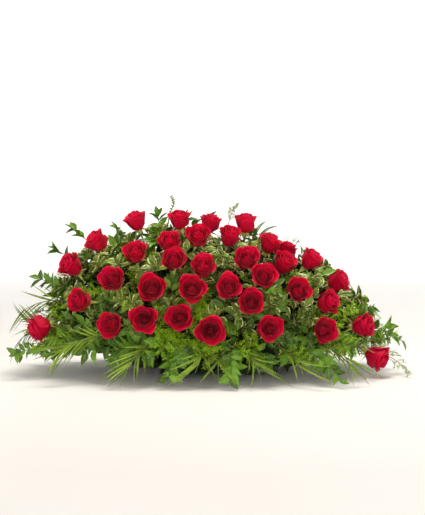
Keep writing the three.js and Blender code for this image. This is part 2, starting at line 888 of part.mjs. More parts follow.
// A whorl of leaves at the end of a short stem: three lie flat and the three between them stand up
function whorl(root, tip, size) {
  const heading = tip.clone().sub(root).normalize();
  const low = tip.clone().addScaledVector(heading, -11);
  const seat = tip.clone().addScaledVector(heading, -5);
  const upright = frameOf(heading)[0];
  const side = new THREE.Vector3().crossVectors(upright, heading).normalize();
  const knots = [[], [], []];
  for (let k = 0; k < 3; k += 1) {
    for (const [knot, half, lean, turn] of [[1, 0, 1.3, -0.5], [2, 1, 0.75, 0.5]]) {
      const angle = (Math.PI * 5) / 6 + (2 * Math.PI * k) / 3 + turn + between(-0.12, 0.12);
      const spoke = side.clone().multiplyScalar(Math.cos(angle)).addScaledVector(upright, Math.sin(angle));
      const tilt = lean + between(-0.1, 0.1);
      knots[knot].push({
        slot: 2 * k + half,
        direction: heading.clone().multiplyScalar(Math.cos(tilt)).addScaledVector(spoke, Math.sin(tilt)),
        across: new THREE.Vector3().crossVectors(heading, spoke).normalize(),
        length: size * between(0.85, 1.1),
        width: size * 0.5,
        thickness: 1.5,
        droop: 0.06 * size,
      });
    }
  }
  return { path: [root, low, seat, tip], upright, radius: 2.2, knots, tipLeaf: null };
}

// A single long blade of grass
function grassBlade(root, shoulder, tip) {
  const curve = new THREE.QuadraticBezierCurve3(root, shoulder, tip);
  const path = [0, 0.4, 0.6].map((share) => curve.getPoint(share));
  const upright = new THREE.Vector3(0, -1, 0);
  const direction = tip.clone().sub(path[2]).normalize();
  const across = new THREE.Vector3().crossVectors(direction, upright).normalize();
  const tipLeaf = {
    direction, across, length: tip.distanceTo(path[2]), width: 10, thickness: 1.2, droop: 0,
  };
  return { path, upright, radius: 2, knots: [], tipLeaf };
}

// Sprigs placed by hand: the plant, where the stem bends over, where it ends, and the size of its leaves.
// Those that hang down in front and at the ends stop just above what the tray stands on.

const sprigs = [
  ['ruscus', [-420, -60, 255], [-497, -70, 275], 0.8],
  ['ruscus', [-340, -10, 368], [-405, -20, 415], 0.8],
  ['ruscus', [-390, -40, 325], [-445, -60, 355], 0.8],
  ['palm', [-470, -30, 200], [-560, -45, 88]],
  ['palm', [-440, -55, 255], [-548, -62, 178]],
  ['palm', [-335, -222, 155], [-412, -258, 92]],
  ['ruscus', [-470, -155, 105], [-548, -165, 72], 0.6],
  ['fern', [-245, -250, 130], [-272, -308, 58]],
  ['palm', [-190, -255, 125], [-224, -316, 52]],
  ['ruscus', [-128, -285, 112], [-113, -322, 8], 0.8],
  ['fern', [-70, -290, 120], [-82, -318, 60]],
  ['palm', [-12, -284, 125], [-48, -324, 40]],
  ['palm', [12, -295, 100], [16, -330, 22]],
  ['ruscus', [58, -290, 112], [46, -330, 20], 0.75],
  ['palm', [115, -285, 105], [130, -325, 18]],
  ['palm', [222, -265, 110], [244, -318, 28]],
  ['ruscus', [296, -262, 110], [348, -302, 9], 0.8],
  ['palm', [346, -232, 118], [368, -268, 60]],
  ['fern', [385, -185, 120], [452, -178, 74]],
  ['ruscus', [480, -50, 140], [560, -60, 86], 0.7],
  ['fern', [505, -45, 80], [554, -130, 14]],
  ['ruscus', [395, -25, 200], [455, -30, 178], 0.7],
  ['wisp', [-148, 10, 440], [-129, 10, 508]],
  ['wisp', [62, 15, 430], [71, 18, 474]],
  ['ruscus', [-150, 20, 412], [-160, 12, 455], 0.7],
  ['ruscus', [-255, -5, 385], [-277, -10, 416], 0.7],
  ['ruscus', [232, 30, 350], [256, 22, 386], 0.65],
  ['grass', [132, 15, 448], [190, 10, 422]],
  ['grass', [128, 22, 432], [176, 15, 404]],
  ['grass', [110, 8, 430], [156, 10, 442]],
  ['fern', [-300, 140, 180], [-370, 205, 110]],
  ['palm', [-190, 210, 140], [-215, 262, 58]],
  ['ruscus', [-95, 225, 150], [-90, 282, 40], 0.9],
  ['fern', [5, 225, 140], [0, 285, 60]],
  ['palm', [130, 220, 140], [140, 272, 55]],
  ['ruscus', [235, 195, 150], [275, 250, 48], 0.9],
  ['palm', [340, 140, 150], [402, 180, 72]],
  ['fern', [-60, 100, 360], [-120, 150, 385]],
  ['ruscus', [120, 110, 330], [140, 180, 345], 0.8],
];

const tries = 14;
const tryStep = 3;

// A stem that is in another's way is bent to one side, a little more at each try
function nudge(point, reach) {
  const move = [0, 1, 2].map(() => between(-reach, reach));
  return point.clone().add(vector(move));
}

const makers = {
  ruscus,
  palm: (root, shoulder, tip) => frond(root, shoulder, tip, palm),
  fern: (root, shoulder, tip) => frond(root, shoulder, tip, fern),
  wisp: (root, shoulder, tip) => frond(root, shoulder, tip, wisp),
  grass: grassBlade,
};

for (const [plant, shoulderPlace, tipPlace, size] of sprigs) {
  const tip = vector(tipPlace);
  let grew = false;
  for (let i = 0; i < tries && !grew; i += 1) {
    const shoulder = nudge(vector(shoulderPlace), i * tryStep);
    const bunch = bunchAt(shoulder);
    const root = rootToward(bunch, nudge(shoulder, 2 * i * tryStep));
    grew = growSprig(bunch, makers[plant](root, shoulder, tip, size));
  }
  if (!grew) {
    console.warn(`no room for the ${plant} that ends at ${tipPlace}`);
  }
}

// Whorls fill the mound between the heads, spread evenly over it by the golden angle. They stand at two
// depths, so that the outer ones let the inner ones show, and there are fewer at the back.

const whorlPlaces = 83;
const whorlShares = [0.84, 0.77];
const whorlDistance = 42;
const whorlsAtBack = 0.3;
const goldenAngle = Math.PI * (3 - Math.sqrt(5));

for (let i = 0; i < whorlPlaces; i += 1) {
  const height = 0.02 + (0.96 * (i + 0.5)) / whorlPlaces;
  const flat = Math.sqrt(1 - height * height);
  const turn = i * goldenAngle;
  const share = whorlShares[i % 2] * between(0.96, 1.03);
  const tip = new THREE.Vector3(
    share * moundHalfLength * flat * Math.cos(turn),
    share * moundHalfDepth * flat * Math.sin(turn),
    moundMiddleHeight + share * moundRise * height,
  );
  const size = between(44, 54);
  const wanted = tip.y < 0 || random() < whorlsAtBack;
  if (wanted && roses.every((rose) => rose.face.distanceTo(tip) > whorlDistance)) {
    const bunch = bunchAt(tip);
    growSprig(bunch, whorl(rootToward(bunch, tip), tip, size));
  }
}

// Everything in a bunch grows from its core as one body

for (const bunch of bunches) {
  const body = bunch.solids.reduce((whole, solid) => whole.add(solid));
  addPiece(bunch.name, geometryOf(body), leafGreen);
}

export default spray;
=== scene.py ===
# A spray of red roses and mixed greenery on cut stems, set in a saddle tray of floral foam.
import math

import bpy
import numpy as np
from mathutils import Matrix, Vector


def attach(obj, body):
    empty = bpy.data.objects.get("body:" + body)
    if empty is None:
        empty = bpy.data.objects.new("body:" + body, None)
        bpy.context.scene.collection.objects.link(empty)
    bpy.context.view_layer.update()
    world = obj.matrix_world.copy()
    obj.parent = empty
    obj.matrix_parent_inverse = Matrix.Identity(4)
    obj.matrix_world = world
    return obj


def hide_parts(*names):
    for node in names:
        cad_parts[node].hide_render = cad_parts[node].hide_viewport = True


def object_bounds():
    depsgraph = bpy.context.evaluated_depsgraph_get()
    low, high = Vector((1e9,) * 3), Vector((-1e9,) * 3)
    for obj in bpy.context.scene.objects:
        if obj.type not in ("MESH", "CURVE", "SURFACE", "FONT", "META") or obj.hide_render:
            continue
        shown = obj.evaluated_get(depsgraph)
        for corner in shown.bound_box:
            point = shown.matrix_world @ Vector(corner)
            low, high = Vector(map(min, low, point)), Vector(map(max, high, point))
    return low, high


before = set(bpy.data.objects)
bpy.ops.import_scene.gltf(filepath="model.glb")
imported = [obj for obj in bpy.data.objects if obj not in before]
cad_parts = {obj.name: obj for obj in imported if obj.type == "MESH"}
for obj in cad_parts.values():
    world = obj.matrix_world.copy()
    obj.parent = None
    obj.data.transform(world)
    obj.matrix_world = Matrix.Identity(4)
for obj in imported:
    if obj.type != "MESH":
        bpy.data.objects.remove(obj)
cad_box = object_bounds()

# The view: a camera straight in front of the spray and a little above it. The floor is a wide pale round
# that curves up into a plain backdrop on all sides, and the light is that of a studio: soft boxes round
# the spray, and a white room whose light comes over the backdrop.
mm = 0.001
camera_distance = 3.2
camera_height = 0.526
camera_pitch = math.radians(3.5)
lens = 77.13

camera_data = bpy.data.cameras.new("camera")
camera_data.sensor_fit = "VERTICAL"
camera_data.sensor_height = 36
camera_data.lens = lens
camera = bpy.data.objects.new("camera", camera_data)
camera.location = (0, -camera_distance, camera_height)
camera.rotation_euler = (math.pi / 2 - camera_pitch, 0, 0)
bpy.context.scene.collection.objects.link(camera)
bpy.context.scene.camera = camera
bpy.context.scene.view_settings.view_transform = "Standard"

floor_radius = 5
floor_curve = 1.5
backdrop_top = 4
floor_sides = 64
curve_steps = 12
floor_middle = 0.01
glow_from = 1.2
glow_full = 4.5

profile = [(floor_middle, 0)]
for k in range(curve_steps + 1):
    angle = math.pi / 2 * k / curve_steps
    profile.append((floor_radius + floor_curve * math.sin(angle), floor_curve * (1 - math.cos(angle))))
profile.append((floor_radius + floor_curve, backdrop_top))
turns = [2 * math.pi * k / floor_sides for k in range(floor_sides)]
floor_points = [(r * math.cos(turn), r * math.sin(turn), z) for r, z in profile for turn in turns]
floor_faces = [(0, *range(floor_sides - 1, 0, -1))]
for ring in range(len(profile) - 1):
    for k in range(floor_sides):
        first, second = ring * floor_sides + k, ring * floor_sides + (k + 1) % floor_sides
        floor_faces.append((first, second, second + floor_sides, first + floor_sides))
floor_mesh = bpy.data.meshes.new("floor")
floor_mesh.from_pydata(floor_points, [], floor_faces)
floor_mesh.shade_smooth()
floor = bpy.data.objects.new("floor", floor_mesh)
bpy.context.scene.collection.objects.link(floor)


def floor_paint():
    """Matt off-white that glows more the further out it is, so that the backdrop comes out plain."""
    material = bpy.data.materials.new("floor_paint")
    material.use_nodes = True
    nodes, links = material.node_tree.nodes, material.node_tree.links
    shader = nodes["Principled BSDF"]
    shader.inputs["Base Color"].default_value = (0.87, 0.85, 0.83, 1)
    shader.inputs["Roughness"].default_value = 0.7
    shader.inputs["Emission Strength"].default_value = 0.55
    place = nodes.new("ShaderNodeTexCoord")
    distance = nodes.new("ShaderNodeVectorMath")
    distance.operation = "LENGTH"
    glow = nodes.new("ShaderNodeMapRange")
    glow.inputs["From Min"].default_value = glow_from
    glow.inputs["From Max"].default_value = glow_full
    links.new(place.outputs["Object"], distance.inputs[0])
    links.new(distance.outputs["Value"], glow.inputs["Value"])
    links.new(glow.outputs["Result"], shader.inputs["Emission Color"])
    return material


floor_mesh.materials.append(floor_paint())

light_colour = (1, 0.96, 0.89)
lights_aim = np.array((0, 0, 0.2))
soft_boxes = [
    ("key_box", (-1.3, -2.6, 2.0), 0.8, 196),
    ("fill_box", (2.0, -2.4, 1.2), 1.5, 46),
    ("top_box", (0.2, 0.1, 2.6), 1.4, 66),
]
for name, place, size, watts in soft_boxes:
    light = bpy.data.lights.new(name, "AREA")
    light.shape = "DISK"
    light.size = size
    light.energy = watts
    light.color = light_colour
    box = bpy.data.objects.new(name, light)
    box.location = place
    aim = lights_aim - place
    box.rotation_euler = (math.acos(-aim[2] / np.linalg.norm(aim)), 0, math.atan2(aim[0], -aim[1]))
    bpy.context.scene.collection.objects.link(box)

world = bpy.data.worlds.new("white_room")
world.use_nodes = True
room_light = world.node_tree.nodes["Background"]
room_light.inputs["Color"].default_value = (1, 1, 1, 1)
room_light.inputs["Strength"].default_value = 0.14
bpy.context.scene.world = world


# The holder: a tray moulded in dark green plastic, the foam block in it, and two bands of waxed cloth
# tape over both. All three hide under the greenery.
class Shade:
    """A socket in a material's node tree. Arithmetic on it adds Math nodes."""

    def __init__(self, tree, socket=None):
        self.tree = tree
        self.socket = socket

    def node(self, kind, settings=None, inputs=None, output=0):
        made = self.tree.nodes.new(kind)
        for name, value in (settings or {}).items():
            setattr(made, name, value)
        for name, value in (inputs or {}).items():
            if isinstance(value, Shade):
                self.tree.links.new(value.socket, made.inputs[name])
            else:
                made.inputs[name].default_value = value
        return Shade(self.tree, made.outputs[output])

    def math(self, operation, *others):
        return self.node("ShaderNodeMath", {"operation": operation}, dict(enumerate((self, *others))))

    def parts(self):
        """The three numbers of this vector."""
        return [self.node("ShaderNodeSeparateXYZ", {}, {0: self}, k) for k in range(3)]

    def __add__(self, other):
        return self.math("ADD", other)

    def __sub__(self, other):
        return self.math("SUBTRACT", other)

    def __mul__(self, other):
        return self.math("MULTIPLY", other)

    def smooth(self, low, high):
        """Rises from 0 to 1 between two values, or falls where the first is the higher."""
        ends = {"From Min": low, "From Max": high, "Value": self}
        return self.node("ShaderNodeMapRange", {"interpolation_type": "SMOOTHSTEP"}, ends)

    def between(self, low, high):
        """A colour that goes from one to another as this value goes from 0 to 1."""
        ends = {0: self, 6: low, 7: high}
        return self.node("ShaderNodeMix", {"data_type": "RGBA"}, ends, 2)

    def grain(self, scale, detail=2.0, stretch=(1, 1, 1)):
        """Noise over this vector, from 0 to 1 and mostly near its middle."""
        spread = {0: self, 1: tuple(scale * share for share in stretch)}
        vector = self.node("ShaderNodeVectorMath", {"operation": "MULTIPLY"}, spread)
        return self.node("ShaderNodeTexNoise", {}, {"Vector": vector, "Scale": 1, "Detail": detail})

    def raised(self, height_mm, strength=1.0):
        """A normal from this value as a height."""
        return self.node(
            "ShaderNodeBump", {}, {"Height": self, "Distance": height_mm * mm, "Strength": strength}
        )


def new_finish(name, **constants):
    """A material, its shader's inputs and the start of its node tree."""
    material = bpy.data.materials.new(name)
    material.use_nodes = True
    shader = material.node_tree.nodes["Principled BSDF"]
    for socket, value in constants.items():
        shader.inputs[socket.replace("_", " ")].default_value = value
    return material, shader, Shade(material.node_tree)


def feed(shader, **links):
    """Links values to the shader's inputs of the same names."""
    for socket, value in links.items():
        value.tree.links.new(value.socket, shader.inputs[socket.replace("_", " ")])


def colour(red, green, blue):
    """A colour from the 0 to 255 values of a screen."""
    levels = np.array((red, green, blue)) / 255
    linear = np.where(levels <= 0.04045, levels / 12.92, ((levels + 0.055) / 1.055) ** 2.4)
    return *linear.tolist(), 1


def moulded_plastic():
    material, shader, start = new_finish("moulded_plastic", Coat_Weight=0.1)
    place = start.node("ShaderNodeTexCoord", output=3)
    mottle = place.grain(60, 3)
    feed(
        shader,
        Base_Color=mottle.between(colour(24, 52, 32), colour(38, 74, 47)),
        Roughness=mottle * 0.2 + 0.32,
        Normal=place.grain(900, 2).raised(0.08, 0.5),
    )
    return material


def wet_foam():
    material, shader, start = new_finish("wet_foam", Specular_IOR_Level=0.25)
    place = start.node("ShaderNodeTexCoord", output=3)
    pores = place.node("ShaderNodeTexVoronoi", {}, {"Vector": place, "Scale": 700})
    mottle = place.grain(45, 4)
    feed(
        shader,
        Base_Color=mottle.between(colour(30, 66, 42), colour(58, 104, 68)),
        Roughness=mottle * 0.1 + 0.85,
        Normal=(pores + place.grain(1500, 3) * 0.5).raised(0.7, 0.9),
    )
    return material


threads_per_metre = 7000


def waxed_tape():
    material, shader, start = new_finish("waxed_tape", Sheen_Weight=0.15)
    place = start.node("ShaderNodeTexCoord", output=3)
    across, along, _ = place.parts()
    warp = (across * threads_per_metre).math("SINE")
    weft = (along * threads_per_metre).math("SINE")
    feed(
        shader,
        Base_Color=place.grain(120, 3).between(colour(44, 84, 56), colour(66, 108, 74)),
        Roughness=place.grain(300, 2) * 0.2 + 0.5,
        Normal=(warp * weft).raised(0.15, 0.6),
    )
    return material


tape_finish = waxed_tape()
for node, material in [
    ("saddle_tray", moulded_plastic()),
    ("foam_block", wet_foam()),
    ("anchor_tape_left", tape_finish),
    ("anchor_tape_right", tape_finish),
]:
    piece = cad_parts[node]
    piece.data.materials.clear()
    piece.data.materials.append(material)


# Rose heads: each is seventeen petals in a spiral, rolled tight in the middle and cupped outside, with rims
# that curl back. The petals are thin, soft and a little downy, deep crimson, with painted shade that darkens
# the heart of each head and painted highlights that lighten the rims. A row below is where the middle of a
# head's face is, which way it looks, and its radius; the last six are at the back.
rose_table = [
    (-220, -20, 440, -0.3, -0.25, 0.92, 32),
    (-95, -40, 443, 0, -0.35, 0.94, 31),
    (-5, 5, 433, 0.25, -0.1, 0.95, 31),
    (95, -10, 433, 0.05, -0.2, 0.97, 32),
    (-330, -50, 380, -0.65, -0.4, 0.62, 33),
    (-40, -130, 395, 0, -0.75, 0.66, 34),
    (-120, -120, 380, 0, -0.7, 0.7, 32),
    (50, -80, 395, 0.25, -0.45, 0.85, 33),
    (165, -40, 375, 0.35, -0.2, 0.9, 33),
    (-215, -130, 350, -0.1, -0.75, 0.65, 33),
    (-105, -185, 335, 0, -0.85, 0.5, 33),
    (215, 20, 350, 0.3, 0.1, 0.95, 32),
    (200, -110, 320, 0.45, -0.6, 0.65, 34),
    (282, -60, 328, 0.6, -0.3, 0.75, 33),
    (-400, -80, 310, -0.6, -0.6, 0.5, 35),
    (95, -170, 335, 0.1, -0.85, 0.5, 34),
    (-25, -195, 315, 0, -0.8, 0.6, 34),
    (140, -190, 290, 0.1, -0.9, 0.4, 34),
    (-275, -180, 280, -0.2, -0.9, 0.35, 34),
    (358, -70, 267, 0.8, -0.35, 0.45, 33),
    (-165, -225, 260, 0, -0.95, 0.3, 37),
    (-55, -235, 260, 0.05, -0.95, 0.3, 36),
    (45, -225, 265, 0, -0.93, 0.35, 33),
    (235, -190, 251, 0.2, -0.9, 0.35, 34),
    (105, -235, 225, 0, -0.95, 0.25, 34),
    (320, -150, 215, 0.7, -0.6, 0.35, 33),
    (-365, -160, 220, -0.55, -0.8, 0.2, 33),
    (-275, -220, 161, -0.35, -0.92, 0.15, 34),
    (-185, -245, 180, 0, -1, 0.15, 35),
    (-90, -250, 185, -0.1, -0.95, 0.2, 34),
    (-6, -265, 151, 0, -0.98, 0.1, 37),
    (155, -250, 155, 0.1, -0.95, 0.2, 33),
    (305, -215, 146, 0.25, -0.92, 0.1, 33),
    (422, -120, 145, 0.75, -0.5, 0.1, 33),
    (-488, -100, 138, -0.8, -0.35, -0.35, 36),
    (462, -110, 57, 0.7, -0.4, -0.35, 36),
    (-330, 120, 270, -0.6, 0.7, 0.4, 33),
    (-195, 190, 230, -0.2, 0.9, 0.35, 34),
    (-70, 170, 320, -0.1, 0.75, 0.65, 34),
    (75, 215, 215, 0.1, 0.95, 0.3, 35),
    (205, 170, 270, 0.3, 0.8, 0.5, 33),
    (340, 135, 190, 0.65, 0.7, 0.3, 33),
]
head_depth = 30
petal_count = 17
petal_thickness = 0.8
golden_angle = math.pi * (3 - math.sqrt(5))
draw = np.random.default_rng(7)


def unit(vectors):
    vectors = np.asarray(vectors, float)
    return vectors / np.maximum(np.linalg.norm(vectors, axis=-1, keepdims=True), 1e-9)


def sides_of(direction):
    """Two directions square to the given one and to each other."""
    reference = (0, -1, 0) if abs(direction[2]) > 0.9 else (0, 0, 1)
    side = unit(np.cross(reference, direction))
    return side, np.cross(direction, side)


def turned(angles, one, other):
    """Directions at angles from one direction toward another that is square to it."""
    angles = angles[..., None]
    return np.cos(angles) * one + np.sin(angles) * other


def rise(low, high, value):
    """Goes smoothly from 0 to 1 as the value goes from low to high."""
    share = np.clip((value - low) / (high - low), 0, 1)
    return share * share * (3 - 2 * share)


class Sheet:
    """A thin closed sheet as a net of points: how far along and across each is, and which face it is on.

    Its two faces share their edge. The layout lies flat for a baked texture, one face beside the other.
    """

    def __init__(self, rows, columns, pointed):
        numbers, self.triangles, self.layout = {}, [], []
        for side in (1, -1):
            for i in range(rows):
                for j in range(columns):
                    corners = [(i, j), (i, j + 1), (i + 1, j + 1), (i + 1, j)]
                    if pointed:
                        corners = [(a, columns / 2 if a == rows else b) for a, b in corners]
                    faces = [0 if a in (0, rows) or b in (0, columns) else side for a, b in corners]
                    keys = [(a, b, face) for (a, b), face in zip(corners, faces)]
                    flat = [((0.47 * b / columns) + 0.53 * (side < 0), a / rows) for a, b in corners]
                    # The diagonal that keeps the two faces from sharing a whole triangle at a corner
                    falls = (2 * i < rows) != (2 * j < columns)
                    for picked in ((0, 1, 3), (1, 2, 3)) if falls else ((0, 1, 2), (0, 2, 3)):
                        triangle = [numbers.setdefault(keys[k], len(numbers)) for k in picked]
                        if len(set(triangle)) == 3:
                            self.triangles.append(triangle[::side])
                            self.layout.append([flat[k] for k in picked][::side])
        self.triangles = np.array(self.triangles)
        self.layout = np.array(self.layout)
        self.rows, self.columns, self.faces = np.array(list(numbers), float).T
        self.along = self.rows / rows
        self.across = 2 * self.columns / columns - 1


small_petal = Sheet(6, 8, pointed=False)
large_petal = Sheet(8, 8, pointed=False)


def petal(rose, order, turn):
    """One petal: its sheet, points and places on it. order goes from 0 to 1, from the middle outward."""
    sheet = small_petal if order < 0.4 else large_petal
    rows, columns = int(sheet.rows.max()), int(sheet.columns.max())
    u, v = np.meshgrid(np.linspace(0, 1, rows + 1), np.linspace(-1, 1, columns + 1), indexing="ij")
    radius = rose["radius"]
    opened = rose["opened"]

    # The petal's upright section is a curve from its base past its belly to its rim. Its sides are lower.
    top = radius * (1.82 - 0.42 * order ** 2 * opened + draw.uniform(-0.04, 0.04))
    belly = radius * (0.2 + 0.72 * order) * draw.uniform(0.98, 1.02)
    spread = math.sin(math.pi / 2 * order ** rose["tightness"])
    rim = radius * (0.02 + 0.9 * spread * (0.92 + 0.08 * opened)) * draw.uniform(0.97, 1.03)
    base = radius * (0.01 + 0.19 * order)
    edge = np.abs(v)
    t = u * (1 - (0.14 + 0.3 * order) * edge ** 2.4)
    weights = [(1 - t) ** 3, 3 * t * (1 - t) ** 2, 3 * t * t * (1 - t), t ** 3]
    out = sum(w * r for w, r in zip(weights, (base, 0.62 * belly, 1.1 * belly, rim)))
    rising = sum(w * z for w, z in zip(weights, (0, 0, 0.6 * top, top)))

    # The rim curls out and down, most at its middle on the outer petals, and rolls a little on the inner ones
    curl = (0.08 + 1.0 * rise(0.4, 0.95, order)) * opened * draw.uniform(0.75, 1.25)
    tip = rise(0.68, 1, t)
    sides = rise(0.5, 1, edge) * rise(0.45, 0.95, u)
    roll = (1.1 - order) * rise(-0.1, 0.35, order) * rise(0.86, 1, t)
    out = out + radius * curl * (0.07 * tip + 0.2 * tip * (1 - edge) ** 1.7 + 0.04 * sides)
    out = out + radius * 0.09 * roll
    rising = rising - radius * 0.05 * roll ** 2
    rising = rising - radius * curl * (0.15 * tip ** 3 + 0.14 * sides ** 2)

    # It is waved, one side stands out over the next petal, and it leans
    out = out + radius * 0.025 * u ** 2 * np.sin(4 * v + draw.uniform(0, 6))
    out = out + radius * (0.03 + 0.05 * order) * v * u
    rising = rising + radius * draw.uniform(-0.05, 0.05) * v * u

    half_angle = (2.5 - 1.5 * order) * (0.45 + 0.55 * rise(0, 0.55, u))
    round_axis = turned(turn + v * half_angle, rose["side"], rose["up"])
    grid = rose["base"] + out[..., None] * round_axis + rising[..., None] * rose["direction"]
    normal = unit(np.cross(np.gradient(grid, axis=1), np.gradient(grid, axis=0)))
    i, j = sheet.rows.astype(int), sheet.columns.astype(int)
    points = grid[i, j] + normal[i, j] * sheet.faces[:, None] * petal_thickness / 2
    # Painted highlight: where the side edges and tops of the petals are lightened
    rim_highlight = np.maximum(edge ** 3, rise(0.75, 1, u))[i, j]
    inside = (1 - sheet.faces) / 2
    # Painted shade: darker toward the heart of the head, on the petals' inner faces and low down on them
    painted_shade = (1.1 - order) * (0.4 + 0.6 * inside) * (1 - rise(0.7, 0.92, u[i, j]))
    height = np.maximum(u[i, j], 0.2 * (order < 0.8))
    return sheet, points, np.stack([height, rim_highlight, painted_shade], 1)


cell_margin = 0.05
sharp_from = math.radians(70)


def make_piece(name, growth):
    """One mesh from lists of like parts.

    Each list is (sheet, points and places of all its parts, its finish, how many share a cell of the map).
    """
    finishes = []
    points, triangles, places, worn, flat = [], [], [], [], []
    cells = sum(math.ceil(len(block_points) / shared) for _, block_points, _, _, shared in growth)
    grid = math.ceil(math.sqrt(cells))
    count, cell = 0, 0
    for sheet, block_points, block_places, finish, shared in growth:
        parts, each = block_points.shape[:2]
        if finish not in finishes:
            finishes.append(finish)
        starts = count + each * np.arange(parts)
        triangles.append((sheet.triangles[None] + starts[:, None, None]).reshape(-1, 3))
        worn.append(np.full(parts * len(sheet.triangles), finishes.index(finish)))
        points.append(block_points.reshape(-1, 3))
        places.append(block_places.reshape(-1, 3))
        split = round(math.sqrt(shared))
        number = cell + np.arange(parts) // shared
        inner = np.arange(parts) % shared
        corner = np.stack([
            number % grid + (inner % split) / split,
            number // grid + (inner // split) / split,
        ], 1) / grid
        inset = cell_margin + (1 - 2 * cell_margin) * sheet.layout[None]
        flat.append((corner[:, None, None] + inset / (grid * split)).reshape(-1, 2))
        count += parts * each
        cell += math.ceil(parts / shared)
    points, triangles = np.concatenate(points) * mm, np.concatenate(triangles)
    mesh = bpy.data.meshes.new(name)
    mesh.vertices.add(len(points))
    mesh.vertices.foreach_set("co", points.astype(np.float32).ravel())
    mesh.loops.add(3 * len(triangles))
    mesh.loops.foreach_set("vertex_index", triangles.astype(np.int32).ravel())
    mesh.polygons.add(len(triangles))
    mesh.polygons.foreach_set("loop_start", np.arange(0, 3 * len(triangles), 3, dtype=np.int32))
    mesh.polygons.foreach_set("material_index", np.concatenate(worn).astype(np.int32))
    for finish in finishes:
        mesh.materials.append(finish)
    attribute = mesh.attributes.new("place", "FLOAT_VECTOR", "POINT")
    attribute.data.foreach_set("vector", np.concatenate(places).astype(np.float32).ravel())
    layer = mesh.uv_layers.new(name="OFBake")
    layer.data.foreach_set("uv", np.concatenate(flat).astype(np.float32).ravel())
    mesh.update(calc_edges=True)
    mesh.shade_smooth()
    mesh.set_sharp_from_angle(angle=sharp_from)
    piece = bpy.data.objects.new(name, mesh)
    bpy.context.scene.collection.objects.link(piece)
    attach(piece, "root")
    return piece


def crimson_petals():
    material, shader, start = new_finish(
        "crimson_petals", Sheen_Weight=0.2, Sheen_Roughness=0.4, Specular_IOR_Level=0.22,
        Sheen_Tint=colour(255, 120, 130),
    )
    place = start.node("ShaderNodeAttribute", {"attribute_name": "place"}, output=1)
    along, edge, painted_shade = place.parts()
    veins = place.grain(1, 3, (3, 22, 9))
    # Painted shade: the heart of the head and the petals' inner faces come out darker
    heart_shade = painted_shade.smooth(0.9, 0.25).between(colour(128, 0, 36), colour(202, 0, 50))
    # Painted highlight: the rims are lighter and pinker
    rim_highlight = (edge.smooth(0.55, 1) * 0.75).between(heart_shade, colour(232, 34, 84))
    streaked = (veins.smooth(0.5, 0.75) * 0.3).between(rim_highlight, colour(150, 0, 34))
    feed(
        shader,
        Base_Color=(along.smooth(0.16, 0.03) * 0.8).between(streaked, colour(196, 190, 110)),
        Roughness=veins * 0.2 + 0.42,
        Normal=veins.raised(0.25, 0.5),
    )
    return material


petal_finish = crimson_petals()
roses = []
for x, y, z, to_x, to_y, to_z, radius in rose_table:
    direction = unit((to_x, to_y, to_z))
    side, up = sides_of(direction)
    roses.append({
        "direction": direction,
        "base": np.array((x, y, z)) - head_depth * direction,
        "radius": radius,
        "side": side,
        "up": up,
        "opened": draw.uniform(0.75, 1.1),
        "tightness": draw.uniform(1.15, 1.65),
    })

for index, rose in enumerate(roses):
    first_turn = draw.uniform(0, 2 * math.pi)
    growth = []
    for k in range(petal_count):
        turn = first_turn + k * golden_angle + draw.uniform(-0.12, 0.12)
        sheet, points, places = petal(rose, k / (petal_count - 1), turn)
        growth.append((sheet, points[None], places[None], petal_finish, 1))
    head = make_piece(f"rose_{index + 1:02d}", growth)
    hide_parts(f"rose_head_{index + 1:02d}")


# The bunches: everything green is cut stems, pushed into the foam in fourteen bunches that share out the
# space round it. Their inside is a mass of packed leaves coloured near black as painted shade, on which the
# roses' stems and sprigs stand.
# The mound is the upper half of an egg; its half sizes and its middle come first.
mound = np.array((545, 255, 385))
mound_middle = np.array((0, 0, 80))
foam_top = 99.3
box_slack = 6
lowest_leaf = 3
box_low = np.array(cad_box[0]) / mm - (box_slack, box_slack, -lowest_leaf)
box_high = np.array(cad_box[1]) / mm + box_slack
seeds = {
    "greens_front_far_left": (-92, -74, 84),
    "greens_front_left": (-24, -105, 90),
    "greens_front_right": (24, -105, 90),
    "greens_front_far_right": (92, -74, 84),
    "greens_back_far_left": (-92, 74, 84),
    "greens_back_left": (-24, 105, 90),
    "greens_back_right": (24, 105, 90),
    "greens_back_far_right": (92, 74, 84),
    "greens_top_far_left": (-112, 0, foam_top + 32),
    "greens_top_left": (-34, 0, foam_top + 39),
    "greens_top_right": (34, 0, foam_top + 39),
    "greens_top_far_right": (112, 0, foam_top + 32),
    "greens_left_end": (-153, 0, 72),
    "greens_right_end": (153, 0, 72),
}
seed_places = np.array(list(seeds.values()), float)
bunches = {name: [] for name in seeds}
rose_bases = np.array([rose["base"] for rose in roses])
rose_directions = np.array([rose["direction"] for rose in roses])
rose_radii = np.array([rose["radius"] for rose in roses], float)

# Leaves stay out of the camera's view of the roses in front, and of the hips of those that are seen side on.
# A sight is the middles of round patches that must be seen, their radii, and which of them count.
front_limit = 60
side_on_limit = 0.75
head_sights = (0.6, 1.2, 1.7)
head_sight_width = 0.82
hip_sight_radius = 13
hip_sight_behind = 14
eye = np.array((0, -camera_distance, camera_height)) / mm
in_front = rose_bases[:, 1] < front_limit
side_on = np.abs(np.einsum("rk,rk->r", rose_directions, unit(rose_bases - eye))) < side_on_limit
sights = [
    (rose_bases + share * rose_radii[:, None] * rose_directions, head_sight_width * rose_radii, in_front)
    for share in head_sights
]
sights.append((rose_bases - hip_sight_behind * rose_directions, hip_sight_radius, in_front & side_on))


def bunch_at(point):
    """The name of the bunch that has the space round a point."""
    return list(seeds)[np.argmin(np.linalg.norm(seed_places - point, axis=1))]


def mound_share(points):
    """How far out points lie: 0 in the middle of the mound, 1 on its surface."""
    return np.linalg.norm((np.asarray(points) - mound_middle) / mound, axis=-1)


